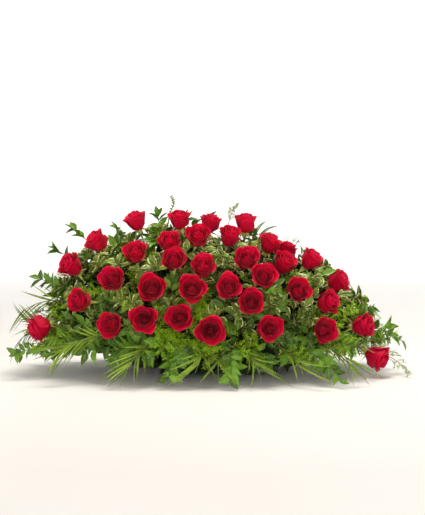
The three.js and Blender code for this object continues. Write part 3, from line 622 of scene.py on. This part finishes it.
def outward(point):
    """The direction straight out of the mound at a point."""
    return unit((np.asarray(point) - mound_middle) / mound ** 2)


def on_mound(turn, height, share):
    """The point at a turn round the mound and a share of its height, some way out from its middle."""
    flat = math.sqrt(1 - height * height)
    return mound_middle + share * mound * (flat * math.cos(turn), flat * math.sin(turn), height)


def keeps_clear(points):
    """Which rows of points stay inside the spray's own box and clear of the roses and the view of them."""
    away = points[:, :, None] - rose_bases
    height = np.einsum("nprk,rk->npr", away, rose_directions) / rose_radii
    width = np.linalg.norm(away, axis=-1) / rose_radii
    width = np.sqrt(np.maximum(width ** 2 - height ** 2, 0))
    # A head's own room widens upward like a cup, and goes on past its petals
    cup = 0.32 + 0.73 * rise(0, 1.1, height)
    in_head = (height > -0.5) & (height < 2.6) & (width < cup)
    in_sight = np.zeros(in_head.shape, bool)
    from_eye = points[:, :, None] - eye
    for centres, radii, shown in sights:
        sight = unit(centres - eye)
        ahead = np.einsum("nprk,rk->npr", from_eye, sight)
        aside = np.linalg.norm(from_eye - ahead[..., None] * sight, axis=-1)
        in_sight |= (ahead < np.linalg.norm(centres - eye, axis=1)) & (aside < radii) & shown
    in_box = ((points > box_low) & (points < box_high)).all(axis=(1, 2))
    return in_box & ~(in_head | in_sight).any(axis=(1, 2))


class Leaf(Sheet):
    """A kind of leaf: its net, its half width at even steps along it, and how it is cupped and waved."""

    def __init__(self, rows, columns, widths, finish, cup=0.15, wave=0.0, teeth=0.0, thickness=0.7, shared=1):
        super().__init__(rows, columns, pointed=True)
        outline = np.interp(self.along, np.linspace(0, 1, len(widths)), widths)
        self.outline = outline * (1 - teeth * (self.rows % 2))
        self.finish = finish
        self.cup = cup
        self.wave = wave
        self.thickness = thickness
        self.shared = shared

    def grow(self, bunch, bases, directions, uppers, lengths, widths, droop=0.1, keep_all=False):
        """Puts leaves in a bunch. Each grows from its base in a direction, with its upper face turned up."""
        directions = unit(np.atleast_2d(directions))
        count = len(directions)
        bases = np.broadcast_to(bases, directions.shape)
        lengths = np.broadcast_to(lengths, count)[:, None, None]
        widths = np.broadcast_to(widths, count)[:, None, None]
        droop = np.broadcast_to(droop, count)[:, None, None]
        across = unit(np.cross(directions, uppers))
        upper = np.cross(across, directions)[:, None]
        u = self.along[None, :, None]
        v = self.across[None, :, None]
        w = self.outline[None, :, None]
        ripple = np.sin(11 * u + 3 * v + draw.uniform(0, 6, count)[:, None, None])
        lift = (
            widths * (self.cup * v ** 2 * w + self.wave * ripple * np.abs(v))
            - droop * lengths * u ** 2
            + self.faces[None, :, None] * self.thickness / 2
        )
        points = (
            bases[:, None]
            + directions[:, None] * lengths * (u - 0.3 * droop ** 2 * u ** 3)
            + across[:, None] * widths / 2 * w * v
            + upper * lift
        )
        # A leaf's tone is drawn at random, and is also painted shade: it falls to dark the deeper the leaf
        # lies in the mound
        tone = draw.uniform(0.15, 1, count)[:, None] * rise(0.6, 0.95, mound_share(points))
        places = np.stack(np.broadcast_arrays(self.along, np.abs(self.across), tone), 2)
        widest = np.flatnonzero(self.outline == self.outline.max())
        beyond = np.argmin(np.abs(self.along - 0.75))
        tested = points[:, [np.argmin(self.along), widest[0], widest[-1], beyond, np.argmax(self.along)]]
        kept = np.full(count, True) if keep_all else keeps_clear(tested)
        if kept.any():
            bunches[bunch].append((self, points[kept], places[kept], self.finish, self.shared))


def leaf_finish(name, dark, light, vein, vein_count=8, margin=None, roughness=0.42, coat=0.08):
    """A leaf's skin: two greens mixed, darker deep in the mound as painted shade, a paler midrib and veins,
    and a cream margin where it has one.
    """
    dark, light, vein = colour(*dark), colour(*light), colour(*vein)
    material, shader, start = new_finish(name, Coat_Roughness=0.35, Specular_IOR_Level=0.25)
    place = start.node("ShaderNodeAttribute", {"attribute_name": "place"}, output=1)
    along, across, tone = place.parts()
    spot = start.node("ShaderNodeTexCoord", output=3)
    mottle = spot.grain(90, 3)
    ribs = (along * (vein_count * 6.283) - across * 5).math("SINE")
    # The tone mixes the two greens, so painted shade darkens leaves deep in the mound
    green = (tone * 0.75 + mottle * 0.7 - 0.22).smooth(0, 1).between(dark, light)
    veined = (ribs.smooth(0.6, 1) * 0.25).between(green, vein)
    midrib = (across.smooth(0.16, 0.02) * 0.55).between(veined, vein)
    if margin:
        edge = across + (spot.grain(160, 2) - 0.5) * 0.9
        midrib = edge.smooth(0.76, 0.88).between(midrib, colour(*margin))
    feed(
        shader,
        Base_Color=midrib,
        Roughness=mottle * 0.25 + (roughness - 0.12),
        Coat_Weight=mottle * (0.6 * coat),
        Normal=(ribs * 0.5 + across.smooth(0.2, 0) + spot.grain(400, 2) * 0.4).raised(0.35, 0.5),
    )
    return material


# Leaves inside the mound and round its foot are near black: painted shade for the dark depths between the
# sprigs
shade_dark_leaf = Leaf(
    2, 2, (0.1, 0.95, 0.05), cup=0.2, shared=4,
    finish=leaf_finish("shade_dark_inner_leaves", (14, 26, 6), (40, 62, 18), (52, 74, 26), roughness=0.6),
)
inner_leaf_count = 3000
foot_leaf_count = 420
foot_half = np.array((235, 150, 0))


def inner_leaf(base):
    out = outward(base)
    heading = unit(draw.normal(size=3)) + 0.5 * out
    shade_dark_leaf.grow(bunch_at(base), base, heading, out, draw.uniform(40, 58), draw.uniform(24, 34), 0.15)


for k in range(inner_leaf_count):
    height = (k + 0.5) / inner_leaf_count
    base = on_mound(k * golden_angle, height, draw.uniform(0.5, 0.74))
    base[2] -= draw.uniform(0, 45) * (height < 0.2) * (abs(base[0]) < 260)
    inner_leaf(base)

for k in range(foot_leaf_count):
    turn = k * golden_angle
    base = draw.uniform(0.75, 1.0) * foot_half * (math.cos(turn), math.sin(turn), 0)
    base[2] = draw.uniform(25, 95)
    inner_leaf(base)


# Rose stems: thick, green and smooth, each swelling into a pale hip with five sepals round the head. A stem
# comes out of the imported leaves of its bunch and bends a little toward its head.
root_share = 0.58
lowest_root = 98
rose_stem_radius = 2.7
hip_radius = 8
hip_length = 18
hip_profile = ((-0.1, 0.36), (0.15, 0.6), (0.4, 0.95), (0.75, 1.0), (1, 0.8))
sepal_count = 5
rose_gap = 0.3


def root_toward(target):
    """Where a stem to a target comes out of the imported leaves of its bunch."""
    seed = seed_places[np.argmin(np.linalg.norm(seed_places - target, axis=1))]
    for share in np.arange(1, 0, -0.02):
        root = seed + share * (target - seed)
        root[2] = max(root[2], lowest_root)
        if mound_share(root) <= root_share:
            break
    return root


class Stalk:
    """A round stalk along a path, closed at both ends."""

    def __init__(self, rings, sides):
        triangles, layout = [], []
        last = 1 + rings * sides
        for k in range(sides):
            near, far = k / sides, (k + 1) / sides
            a, b = 1 + k, 1 + (k + 1) % sides
            triangles.append((0, b, a))
            layout.append(((near, 0), (far, 0.02), (near, 0.02)))
            for i in range(rings - 1):
                low, high = 0.03 + 0.94 * i / (rings - 1), 0.03 + 0.94 * (i + 1) / (rings - 1)
                p, q = i * sides, (i + 1) * sides
                triangles += [(a + p, b + p, b + q), (a + p, b + q, a + q)]
                layout += [((near, low), (far, low), (far, high)), ((near, low), (far, high), (near, high))]
            top = (rings - 1) * sides
            triangles.append((a + top, b + top, last))
            layout.append(((near, 0.98), (far, 0.98), (near, 1)))
        self.triangles = np.array(triangles)
        self.layout = np.array(layout)

    @classmethod
    def grow(cls, bunch, path, radii, finish, sides=5):
        path = np.asarray(path, float)
        tangents = unit(np.gradient(path, axis=0))
        side, up = sides_of(tangents[-1])
        turns = 2 * np.pi * np.arange(sides) / sides
        rings = []
        for place, tangent, radius in zip(path, tangents, radii):
            one = unit(side - tangent * side.dot(tangent))
            two = np.cross(tangent, one)
            rings.append(place + radius * turned(turns, one, two))
        points = np.concatenate([path[:1], *rings, path[-1:]])
        along = np.concatenate([[0], np.repeat(np.linspace(0, 1, len(path)), sides), [1]])
        tone = np.full(len(points), draw.uniform(0, 1))
        places = np.stack([along, np.zeros(len(points)), tone], 1)
        bunches[bunch].append((cls(len(path), sides), points[None], places[None], finish, 1))


def bend(root, shoulder, tip, shares):
    """Points at shares of the way along a stem that is bent over a shoulder, and its heading there."""
    t = np.asarray(shares, float)[:, None]
    points = (1 - t) ** 2 * root + 2 * t * (1 - t) * shoulder + t * t * tip
    headings = unit((1 - t) * (shoulder - root) + t * (tip - shoulder) + 1e-6)
    return points, headings


def stem_finish(name, foot, end):
    """A stalk's skin: fibres along it, and a colour that changes from its foot to its end."""
    foot, end = colour(*foot), colour(*end)
    material, shader, start = new_finish(name, Specular_IOR_Level=0.4)
    place = start.node("ShaderNodeAttribute", {"attribute_name": "place"}, output=1)
    along, _, tone = place.parts()
    spot = start.node("ShaderNodeTexCoord", output=3)
    fibres = spot.grain(1, 3, (300, 300, 60))
    # On stalks the tone is drawn at random; on twigs grown as leaves it is also painted shade, darker deep in
    # the mound
    feed(
        shader,
        Base_Color=(along * 0.8 + tone * 0.2 + fibres * 0.4 - 0.2).smooth(0, 1).between(foot, end),
        Roughness=fibres * 0.3 + 0.4,
        Normal=fibres.raised(0.2, 0.5),
    )
    return material


rose_stem_green = stem_finish("rose_stems", (46, 78, 30), (112, 138, 60))
hip_green = stem_finish("rose_hips", (142, 164, 70), (214, 216, 118))
sepal = Leaf(
    5, 2, (0.8, 1, 0.75, 0.45, 0.2, 0.05), cup=0.3, thickness=0.8,
    finish=leaf_finish("sepals", (140, 164, 72), (206, 212, 120), (220, 222, 140)),
)

for rose in roses:
    end = rose["base"] - rose_gap * rose["direction"]
    bunch = bunch_at(end)
    root = root_toward(end)
    neck = end - hip_length * rose["direction"]
    shoulder = neck - 0.3 * np.linalg.norm(neck - root) * rose["direction"]
    path, _ = bend(root, shoulder, neck, np.linspace(0, 1, 6))
    Stalk.grow(bunch, path, np.full(6, rose_stem_radius), rose_stem_green)
    hip_path = [neck + share * hip_length * rose["direction"] for share, _ in hip_profile]
    Stalk.grow(bunch, hip_path, [hip_radius * width for _, width in hip_profile], hip_green, 7)
    turns = 2 * np.pi * (np.arange(sepal_count) + draw.uniform(0, 1)) / sepal_count
    spokes = turned(turns, rose["side"], rose["up"])
    headings = turned(draw.uniform(1.35, 2.3, sepal_count), rose["direction"], spokes)
    sepal.grow(
        bunch, end + (hip_radius * 0.8) * spokes - rose["direction"], headings, rose["direction"],
        draw.uniform(24, 36, sepal_count), 10, draw.uniform(0.1, 0.5, sepal_count), keep_all=True,
    )


# Variegated pittosporum: whorls of eleven wavy leaves, grey-green with cream margins, each at the end of its
# twig. They fill the mound between the roses at two depths.
pittosporum_leaf = Leaf(
    5, 4, (0.12, 0.45, 0.85, 1.0, 0.78, 0.1), cup=0.28, wave=0.07,
    finish=leaf_finish(
        "variegated_leaves", (34, 62, 14), (126, 156, 54), (146, 170, 80), 7,
        margin=(228, 226, 158), roughness=0.4, coat=0.2,
    ),
)
twig_brown = stem_finish("twigs", (58, 66, 34), (120, 136, 66))
whorl_tiers = ((12, 4, 1.1, 1.5, 1.0), (6, 4, 0.75, 1.05, 0.9), (1, 3, 0.3, 0.55, 0.55))
whorl_places = 120
whorl_shares = (0.84, 0.77)
whorl_lean = 12
whorl_neck = 25
whorl_to_rose = 38


def whorl(tip, size):
    """Leaves in two tiers and a bud of small ones at the end of a twig.

    A tier is how far it is from the end, its leaves, their least and greatest tilt, and their share of size.
    """
    bunch = bunch_at(tip)
    root = root_toward(tip)
    heading = unit(tip - root + whorl_lean * draw.normal(size=3))
    side, up = sides_of(heading)
    path, _ = bend(root, tip - whorl_neck * heading, tip, (0, 0.5, 1))
    Stalk.grow(bunch, path, (1.8, 1.6, 1.2), twig_brown, 4)
    for back, count, low, high, share in whorl_tiers:
        turns = 2 * np.pi * np.arange(count) / count + draw.uniform(0, 6) + draw.uniform(-0.25, 0.25, count)
        headings = turned(draw.uniform(low, high, count), heading, turned(turns, side, up))
        lengths = size * share * draw.uniform(0.85, 1.1, count)
        pittosporum_leaf.grow(
            bunch, tip - back * heading, headings, heading, lengths, lengths * 0.53,
            draw.uniform(-0.1, 0.3, count),
        )


front_whorls = [
    (-296, -76, 347), (-264, -124, 321), (-323, -91, 319), (-359, -24, 344), (-159, -164, 313),
    (-184, -57, 403), (-150, -57, 411), (-249, -182, 229), (-220, -194, 213), (-143, -207, 223),
    (-116, -213, 215), (43, -169, 330), (70, -177, 314), (26, -157, 348), (168, -196, 244),
    (193, -198, 222), (157, -207, 215), (218, -191, 227), (267, -191, 177), (-61, -223, 195),
    (75, -223, 192), (375, -90, 279), (355, -84, 302), (282, -140, 289), (237, -147, 306),
    (-395, -107, 236), (-240, -64, 380), (-26, -148, 359), (104, -128, 366), (116, -198, 260),
    (356, -133, 238), (-200, -158, 307), (-73, -147, 356), (-432, -43, 256), (-261, -166, 258),
    (254, -188, 205), (304, -148, 259), (20, -70, 372), (70, -60, 370), (120, -60, 355), (160, -90, 330),
    (40, -20, 390), (95, -15, 385), (-20, -60, 385), (150, -30, 360), (190, -60, 330), (60, -100, 345),
    (110, -105, 335), (210, -20, 340), (135, -75, 345), (170, -115, 305), (225, -65, 310), (245, -30, 315),
    (180, -5, 345), (150, -140, 300), (85, -130, 340), (255, -100, 290), (130, 20, 370),
]
shoulder_from = 250
shoulder_start = 290
shoulder_height = 345
shoulder_slope = 0.94


def under_shoulder(tip):
    """Whether a tip is below the slope of the right shoulder, which is lower than the round of the mound."""
    x, _, z = tip
    return x < shoulder_from or z < shoulder_height - shoulder_slope * (x - shoulder_start)


for tip in front_whorls:
    whorl(np.array(tip, float), draw.uniform(38, 48))

for k in range(whorl_places):
    height = 0.02 + 0.96 * (k + 0.5) / whorl_places
    tip = on_mound(k * golden_angle, height, whorl_shares[k % 2] * draw.uniform(0.96, 1.06))
    from_rose = np.linalg.norm(rose_bases + head_depth * rose_directions - tip, axis=1).min()
    if from_rose > whorl_to_rose and under_shoulder(tip):
        whorl(tip, draw.uniform(42, 54))


# Italian ruscus: long arching stems with broad pointed leaves on both sides, dark green and waxy. A row of
# a table of sprigs is where the stem bends over, where it ends, and its size.
ruscus_leaf = Leaf(
    5, 2, (0.12, 0.7, 1.0, 0.85, 0.45, 0.05), cup=0.3,
    finish=leaf_finish(
        "ruscus_leaves", (20, 50, 8), (112, 158, 44), (146, 182, 72), 5, roughness=0.36, coat=0.3,
    ),
)
ruscus_stem = stem_finish("ruscus_stems", (40, 66, 24), (92, 122, 48))
ruscus_spacing = 30
ruscus_bare = 0.42


def fronds(plant, table):
    """The sprigs of one plant in a table of (where its stem bends over, where it ends, its size)."""
    for shoulder, tip, size in table:
        plant(np.array(shoulder, float), np.array(tip, float), size)


def sprig_stem(shoulder, tip, finish, radii, until=1, places=7, sides=4):
    """Grows a sprig's stem, and gives its bunch, its root and the length of the way over its shoulder."""
    bunch = bunch_at(shoulder)
    root = root_toward(shoulder)
    path, _ = bend(root, shoulder, tip, np.linspace(0, until, places))
    Stalk.grow(bunch, path, np.linspace(*radii, places), finish, sides)
    return bunch, root, np.linalg.norm(shoulder - root) + np.linalg.norm(tip - shoulder)


def ruscus(shoulder, tip, size):
    """A long stem, bare at first, with pairs of leaves and one at its end."""
    bunch, root, length = sprig_stem(shoulder, tip, ruscus_stem, (2.2, 1.0), until=0.96)
    pairs = max(2, round((1 - ruscus_bare) * length / (ruscus_spacing * size)))
    shares = np.repeat(ruscus_bare + (0.98 - ruscus_bare) * (np.arange(pairs) + 0.5) / pairs, 2)
    shares = shares + draw.uniform(-0.02, 0.02, len(shares))
    bases, headings = bend(root, shoulder, tip, shares)
    upright = outward(tip)
    left = unit(np.cross(upright, headings)) * np.tile((1, -1), pairs)[:, None]
    angles = draw.uniform(0.6, 1.05, len(shares))
    directions = turned(angles, headings, left) + 0.25 * draw.normal(size=headings.shape)
    uppers = upright + 0.35 * draw.normal(size=headings.shape)
    lengths = 50 * size * draw.uniform(0.85, 1.12, len(shares))
    droop = draw.uniform(0, 0.3, len(shares))
    ruscus_leaf.grow(bunch, bases, directions, uppers, lengths, lengths * 0.48, droop)
    end, heading = bend(root, shoulder, tip, [0.95])
    ruscus_leaf.grow(bunch, end, heading, upright, 46 * size, 22 * size)


ruscus_table = [
    ((-420, -60, 255), (-497, -70, 275), 0.8),
    ((-340, -10, 368), (-405, -20, 415), 0.8),
    ((-390, -40, 325), (-445, -60, 355), 0.8),
    ((-470, -155, 105), (-548, -165, 72), 0.6),
    ((-128, -285, 112), (-113, -322, 8), 0.8),
    ((58, -290, 112), (46, -330, 20), 0.75),
    ((296, -262, 110), (348, -302, 9), 0.8),
    ((480, -50, 140), (560, -60, 86), 0.7),
    ((395, -25, 200), (455, -30, 178), 0.7),
    ((-150, 20, 412), (-160, 12, 455), 0.7),
    ((-255, -5, 385), (-277, -10, 416), 0.7),
    ((232, 30, 350), (256, 22, 386), 0.65),
    ((-95, 225, 150), (-90, 282, 40), 0.9),
    ((235, 195, 150), (275, 250, 48), 0.9),
    ((120, 110, 330), (140, 180, 345), 0.8),
]
fronds(ruscus, ruscus_table)


# Fronds: pygmy date palm and leatherleaf fern have leaflets along both sides of a midrib, narrow and
# yellow-green on the palm, dark and toothed on the fern. Pale filler has open plumes of tiny leaflets.
palm_leaf = Leaf(
    4, 2, (0.5, 1.0, 0.85, 0.5, 0.04), cup=0.35,
    finish=leaf_finish("palm_leaflets", (34, 62, 8), (140, 172, 48), (182, 200, 78), 1),
)
fern_leaf = Leaf(
    8, 2, (0.9, 1.0, 0.9, 0.8, 0.68, 0.55, 0.4, 0.25, 0.05), teeth=0.45, cup=0.1,
    finish=leaf_finish("leatherleaf", (18, 44, 8), (94, 136, 34), (114, 148, 48), roughness=0.4, coat=0.2),
)
plume_leaf = Leaf(
    3, 2, (0.4, 1.0, 0.8, 0.1), cup=0.2, shared=4,
    finish=leaf_finish("pale_filler", (128, 150, 94), (206, 214, 168), (226, 230, 196), 1),
)


class Needle(Leaf):
    """A needle or a thin stalk: two pyramids on one three-cornered middle."""

    def __init__(self, finish, shared):
        self.along = np.array((0, 0.4, 0.4, 0.4, 1))
        self.across = np.array((0, 1, 0, -1, 0), float)
        self.faces = np.array((0, -0.6, 1, -0.6, 0))
        self.outline = np.array((0, 1, 1, 1, 0), float)
        self.triangles = np.array([(0, 1, 2), (0, 2, 3), (0, 3, 1), (4, 2, 1), (4, 3, 2), (4, 1, 3)])
        low = [[(k + 0.5, 0), (k, 0.4), (k + 1, 0.4)] for k in range(3)]
        high = [[(k + 0.5, 1), (k + 1, 0.42), (k, 0.42)] for k in range(3)]
        self.layout = np.array(low + high) * (1 / 3, 1)
        self.finish = finish
        self.cup = 0
        self.wave = 0
        self.thickness = 1.1
        self.shared = shared


plume_twig = Needle(stem_finish("filler_twigs", (120, 146, 78), (176, 192, 120)), shared=16)
frond_bare = 0.4


def frond(leaf, shoulder, tip, pairs, angle, width, reach, droop):
    """Leaflets on both sides of a stem. reach gives their lengths at shares of the way along it."""
    bunch, root, _ = sprig_stem(shoulder, tip, twig_brown, (2.2, 0.8), until=0.97)
    along = np.repeat(np.linspace(0, 1, pairs), 2)
    along = np.clip(along + draw.uniform(-0.4, 0.4, 2 * pairs) / pairs, 0, 1)
    bases, headings = bend(root, shoulder, tip, frond_bare + (0.96 - frond_bare) * along)
    upright = unit(outward(tip) + 0.2 * draw.normal(size=3))
    left = unit(np.cross(upright, headings)) * np.tile((1, -1), pairs)[:, None]
    angles = angle * draw.uniform(0.85, 1.15, 2 * pairs)
    directions = turned(angles, headings, left) + 0.06 * draw.normal(size=headings.shape)
    lengths = reach(along) * draw.uniform(0.88, 1.1, 2 * pairs)
    leaf.grow(bunch, bases, directions, upright, lengths, width, droop * draw.uniform(0.5, 1.5, 2 * pairs))
    end, heading = bend(root, shoulder, tip, [0.94])
    leaf.grow(bunch, end, heading, upright, 0.8 * reach(1.0), width)


def palm(shoulder, tip, size):
    def reach(along):
        return size * (52 + 62 * np.sin(2.6 * along))
    frond(palm_leaf, shoulder, tip, pairs=12, angle=0.42, width=5.0, reach=reach, droop=0.2)


def leatherleaf(shoulder, tip, size):
    def reach(along):
        return size * (56 - 40 * along)
    frond(fern_leaf, shoulder, tip, pairs=11, angle=0.95, width=15 * size, reach=reach, droop=0.05)


def plume(shoulder, tip, size):
    """An open plume: a thin stem with thin twigs, and tiny leaflets along each."""
    bunch, root, _ = sprig_stem(shoulder, tip, twig_brown, (1.6, 0.9), places=8, sides=3)
    count = round(15 * size)
    bases, headings = bend(root, shoulder, tip, np.linspace(1 - 0.36 * size, 0.99, count))
    for k, (base, heading) in enumerate(zip(bases, headings)):
        reach = size * (22 - 14 * k / count)
        twig = unit(heading + 0.75 * unit(np.cross(heading, draw.normal(size=3))))
        plume_twig.grow(bunch, base, twig, outward(tip), reach, 1.2, 0.0)
        buds = base + np.linspace(0.3, 1, 6)[:, None] * reach * twig
        out = twig + 0.9 * draw.normal(size=buds.shape)
        plume_leaf.grow(bunch, buds, out, outward(tip), draw.uniform(6, 8.5, 6), 4.6, 0.0)


palm_table = [
    ((-470, -30, 200), (-560, -45, 88), 1),
    ((-440, -55, 255), (-548, -62, 178), 1),
    ((-335, -222, 155), (-412, -258, 92), 1),
    ((-190, -255, 125), (-224, -316, 52), 1),
    ((-12, -284, 125), (-48, -324, 40), 1),
    ((12, -295, 100), (16, -330, 22), 1),
    ((115, -285, 105), (130, -325, 18), 1),
    ((222, -265, 110), (244, -318, 28), 1),
    ((346, -232, 118), (368, -268, 60), 1),
    ((-190, 210, 140), (-215, 262, 58), 1),
    ((130, 220, 140), (140, 272, 55), 1),
    ((340, 140, 150), (402, 180, 72), 1),
]
leatherleaf_table = [
    ((-245, -250, 130), (-272, -308, 58), 1),
    ((-70, -290, 120), (-82, -318, 60), 1),
    ((385, -185, 120), (452, -178, 74), 1),
    ((-300, 140, 180), (-370, 205, 110), 1),
    ((5, 225, 140), (0, 285, 60), 1),
    ((-60, 100, 360), (-120, 150, 385), 1),
]
plume_table = [
    ((36, 12, 432), (66, 15, 484), 1.0),
    ((505, -45, 80), (554, -130, 14), 2.2),
]
fronds(palm, palm_table)
fronds(leatherleaf, leatherleaf_table)
fronds(plume, plume_table)


# Lily grass: three long narrow blades that rise out of the top and arch over to the right
grass_blade = Leaf(
    10, 2, (0.6, 0.9, 1, 1, 1, 0.95, 0.9, 0.8, 0.6, 0.35, 0.03), cup=0.3,
    finish=leaf_finish("grass_blades", (40, 72, 28), (84, 116, 56), (160, 176, 112), 1),
)
blade_width = 11
blade_start = 0.42
blade_table = [
    ((132, 15, 448), (190, 10, 422)),
    ((128, 22, 432), (176, 15, 404)),
    ((110, 8, 430), (156, 10, 442)),
]
for shoulder, tip in np.array(blade_table, float):
    bunch, root, _ = sprig_stem(shoulder, tip, twig_brown, (1.6, 1.2), until=blade_start, places=5)
    (start,), _ = bend(root, shoulder, tip, [blade_start])
    heading = unit(tip - start) + (0, 0, 0.85)
    length = 1.08 * np.linalg.norm(tip - start)
    grass_blade.grow(bunch, start, heading, (0, -0.6, 1), length, blade_width, 0.75, keep_all=True)


# Tree fern: bright green plumes, fine as hair. Each stem has flat branchlets of needles on both sides.
needle = Needle(
    leaf_finish("tree_fern_needles", (62, 112, 6), (182, 228, 50), (182, 228, 50), 1, roughness=0.55),
    shared=16,
)
branchlet_step = 8
needle_step = 3.6
fern_bare = 0.34


def tree_fern(shoulder, tip, size):
    """A thin stem with branchlets on both sides, each with a double row of needles."""
    bunch, root, length = sprig_stem(shoulder, tip, twig_brown, (1.4, 0.5), places=6, sides=3)
    count = max(6, round((1 - fern_bare) * length / branchlet_step))
    shares = fern_bare + (1 - fern_bare) * (np.arange(count) + 0.5) / count
    nodes, headings = bend(root, shoulder, tip, shares)
    upright = outward(tip)
    bases, directions = [], []
    for k, (node, heading) in enumerate(zip(nodes, headings)):
        left = unit(np.cross(upright, heading)) * (1 if k % 2 else -1)
        out = unit(0.75 * heading + 0.75 * left + 0.3 * draw.normal(size=3))
        reach = size * (14 + 30 * math.sin(math.pi * (0.12 + 0.8 * (k + 0.5) / count)))
        needle.grow(bunch, node, out, upright, reach, 1.5)
        for step in np.arange(3, reach, needle_step):
            for turn in (-1, 1):
                sprout = unit(out + turn * 0.9 * unit(np.cross(upright, out)) + 0.35 * draw.normal(size=3))
                bases.append(node + step * out)
                directions.append(sprout)
    needle.grow(bunch, np.array(bases), np.array(directions), upright, draw.uniform(7, 11, len(bases)), 1.8)


free_rooms = [
    ((95, -110, 372), (240, 400, 600)),
    ((20, -110, 415), (100, 400, 600)),
]


def has_room(shoulder, tip):
    """Whether the outer half of a sprig's stem is clear of the roses, and its tip of what must stay free.

    That is the room round the grass blades and the plume on top, and over the right shoulder.
    """
    path, _ = bend(root_toward(shoulder), shoulder, tip, np.linspace(0.45, 1, 12))
    in_free_room = any((tip > low).all() and (tip < high).all() for low, high in free_rooms)
    return keeps_clear(path[None])[0] and not in_free_room and under_shoulder(tip)


drift_table = [
    ((-60, -215, 150), (-75, -285, 80)),
    ((-90, -210, 140), (-102, -285, 74)),
    ((-30, -215, 150), (-34, -290, 82)),
    ((-120, -205, 150), (-136, -275, 95)),
    ((-50, -185, 240), (-48, -245, 190)),
    ((-45, -195, 215), (-62, -255, 150)),
    ((-20, -195, 200), (-10, -262, 140)),
    ((-150, -190, 190), (-168, -240, 150)),
    ((-210, -150, 250), (-228, -205, 215)),
    ((330, -120, 215), (385, -130, 190)),
    ((340, -130, 190), (400, -150, 160)),
    ((300, -150, 190), (345, -195, 150)),
    ((150, -190, 170), (165, -255, 120)),
]
for shoulder, tip in np.array(drift_table, float):
    if has_room(shoulder, tip):
        tree_fern(shoulder, tip, 1.0)


# The tip of one thin trailing stem: it stands up over the top, with a leaflet every few millimetres
tendril = np.array([
    (-134, 12, 410), (-126, 10, 446), (-121, 10, 466), (-113, 10, 484), (-115, 10, 497), (-122, 10, 508),
], float)
leaflet_count = 16
tendril_bunch = bunch_at(tendril[0])
tendril_path = [root_toward(tendril[0]), *tendril]
Stalk.grow(tendril_bunch, tendril_path, np.linspace(1.8, 0.9, len(tendril_path)), ruscus_stem, 4)
shares = np.linspace(1.5, 5, leaflet_count)
leaflet_places = np.stack([np.interp(shares, range(len(tendril)), tendril[:, k]) for k in range(3)], 1)
leaflet_headings = [(0.8 * (-1) ** k, -0.2, 0.9) for k in range(leaflet_count)]
ruscus_leaf.grow(tendril_bunch, leaflet_places, leaflet_headings, (0, -1, 0.3), 9, 4)


# More sprigs fill the mound, laid over its surface, and hang round its foot. Bright tree fern is thickest in
# two drifts, in the middle of the front and toward the right end; the dark fern keeps out of them.
fill_count = 330
foot_count = 44
lowest_tip = 60
foot_reach = np.array((545, 288, 0))
foot_chances = {tree_fern: 0.4, palm: 0.12, leatherleaf: 0.2, ruscus: 0.28}


def pick(chances):
    """One of the plants, drawn by their chances."""
    plants = list(chances)
    weights = np.array(list(chances.values()))
    return plants[draw.choice(len(plants), p=weights / weights.sum())]


def chances_at(place):
    """The chances of each plant, which depend on whether a place is in one of the drifts of tree fern."""
    x, y, z = place
    middle_drift = y < 0 and -150 < x < -15 and z < 260
    right_drift = y < 60 and x > 290 and z < 230
    left_drift = y < 60 and x < -230 and 100 < z < 270
    if middle_drift or right_drift:
        return {tree_fern: 0.85, ruscus: 0.15}
    if left_drift:
        return {tree_fern: 0.4, ruscus: 0.3, leatherleaf: 0.3}
    return {ruscus: 0.5, tree_fern: 0.25, leatherleaf: 0.25}


for k in range(fill_count):
    turn = k * golden_angle + 0.7
    height = 0.01 + 0.95 * (k + 0.5) / fill_count
    shoulder = on_mound(turn, height, draw.uniform(0.74, 0.84))
    out = outward(shoulder)
    along_surface = draw.normal(size=3) + (0, 0, -0.3)
    along_surface = unit(along_surface - out * out.dot(along_surface))
    tip = shoulder + draw.uniform(60, 100) * along_surface
    tip = mound_middle + (tip - mound_middle) * draw.uniform(0.88, 1.0) / mound_share(tip)
    tip[2] = max(tip[2], lowest_tip)
    if has_room(shoulder, tip):
        pick(chances_at(tip))(shoulder, tip, draw.uniform(0.75, 0.95))

for k in range(foot_count):
    # These hang less low toward the two ends
    turn = 2 * math.pi * (k + draw.uniform(0, 1)) / foot_count
    round_foot = foot_reach * (math.cos(turn), math.sin(turn), 0)
    shoulder = 0.76 * round_foot + (0, 0, draw.uniform(85, 130))
    tip = draw.uniform(0.9, 1.06) * round_foot
    tip[2] = 45 + 50 * abs(math.cos(turn)) ** 3 + draw.uniform(0, 60)
    if has_room(shoulder, tip):
        pick(foot_chances)(shoulder, tip, draw.uniform(0.7, 0.95))

# Last, some more whorls close the gaps that still show on the left shoulder and behind the right one
gap_whorls = [
    (-350, 10, 330), (-330, 30, 300), (-385, 0, 290), (-300, 30, 350), (-365, -10, 310), (-410, -20, 255),
    (-270, 30, 370), (-320, -20, 340), (362, 70, 262), (350, 105, 240), (385, 60, 225), (330, 60, 292),
    (395, 100, 190), (374, 25, 245), (325, 15, 300), (300, 60, 312), (410, 40, 205), (275, 20, 330),
]
for tip in gap_whorls:
    whorl(np.array(tip, float), draw.uniform(42, 52))

for name, growth in bunches.items():
    bunch = make_piece(name.replace("greens", "bunch"), growth)
    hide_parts(name)
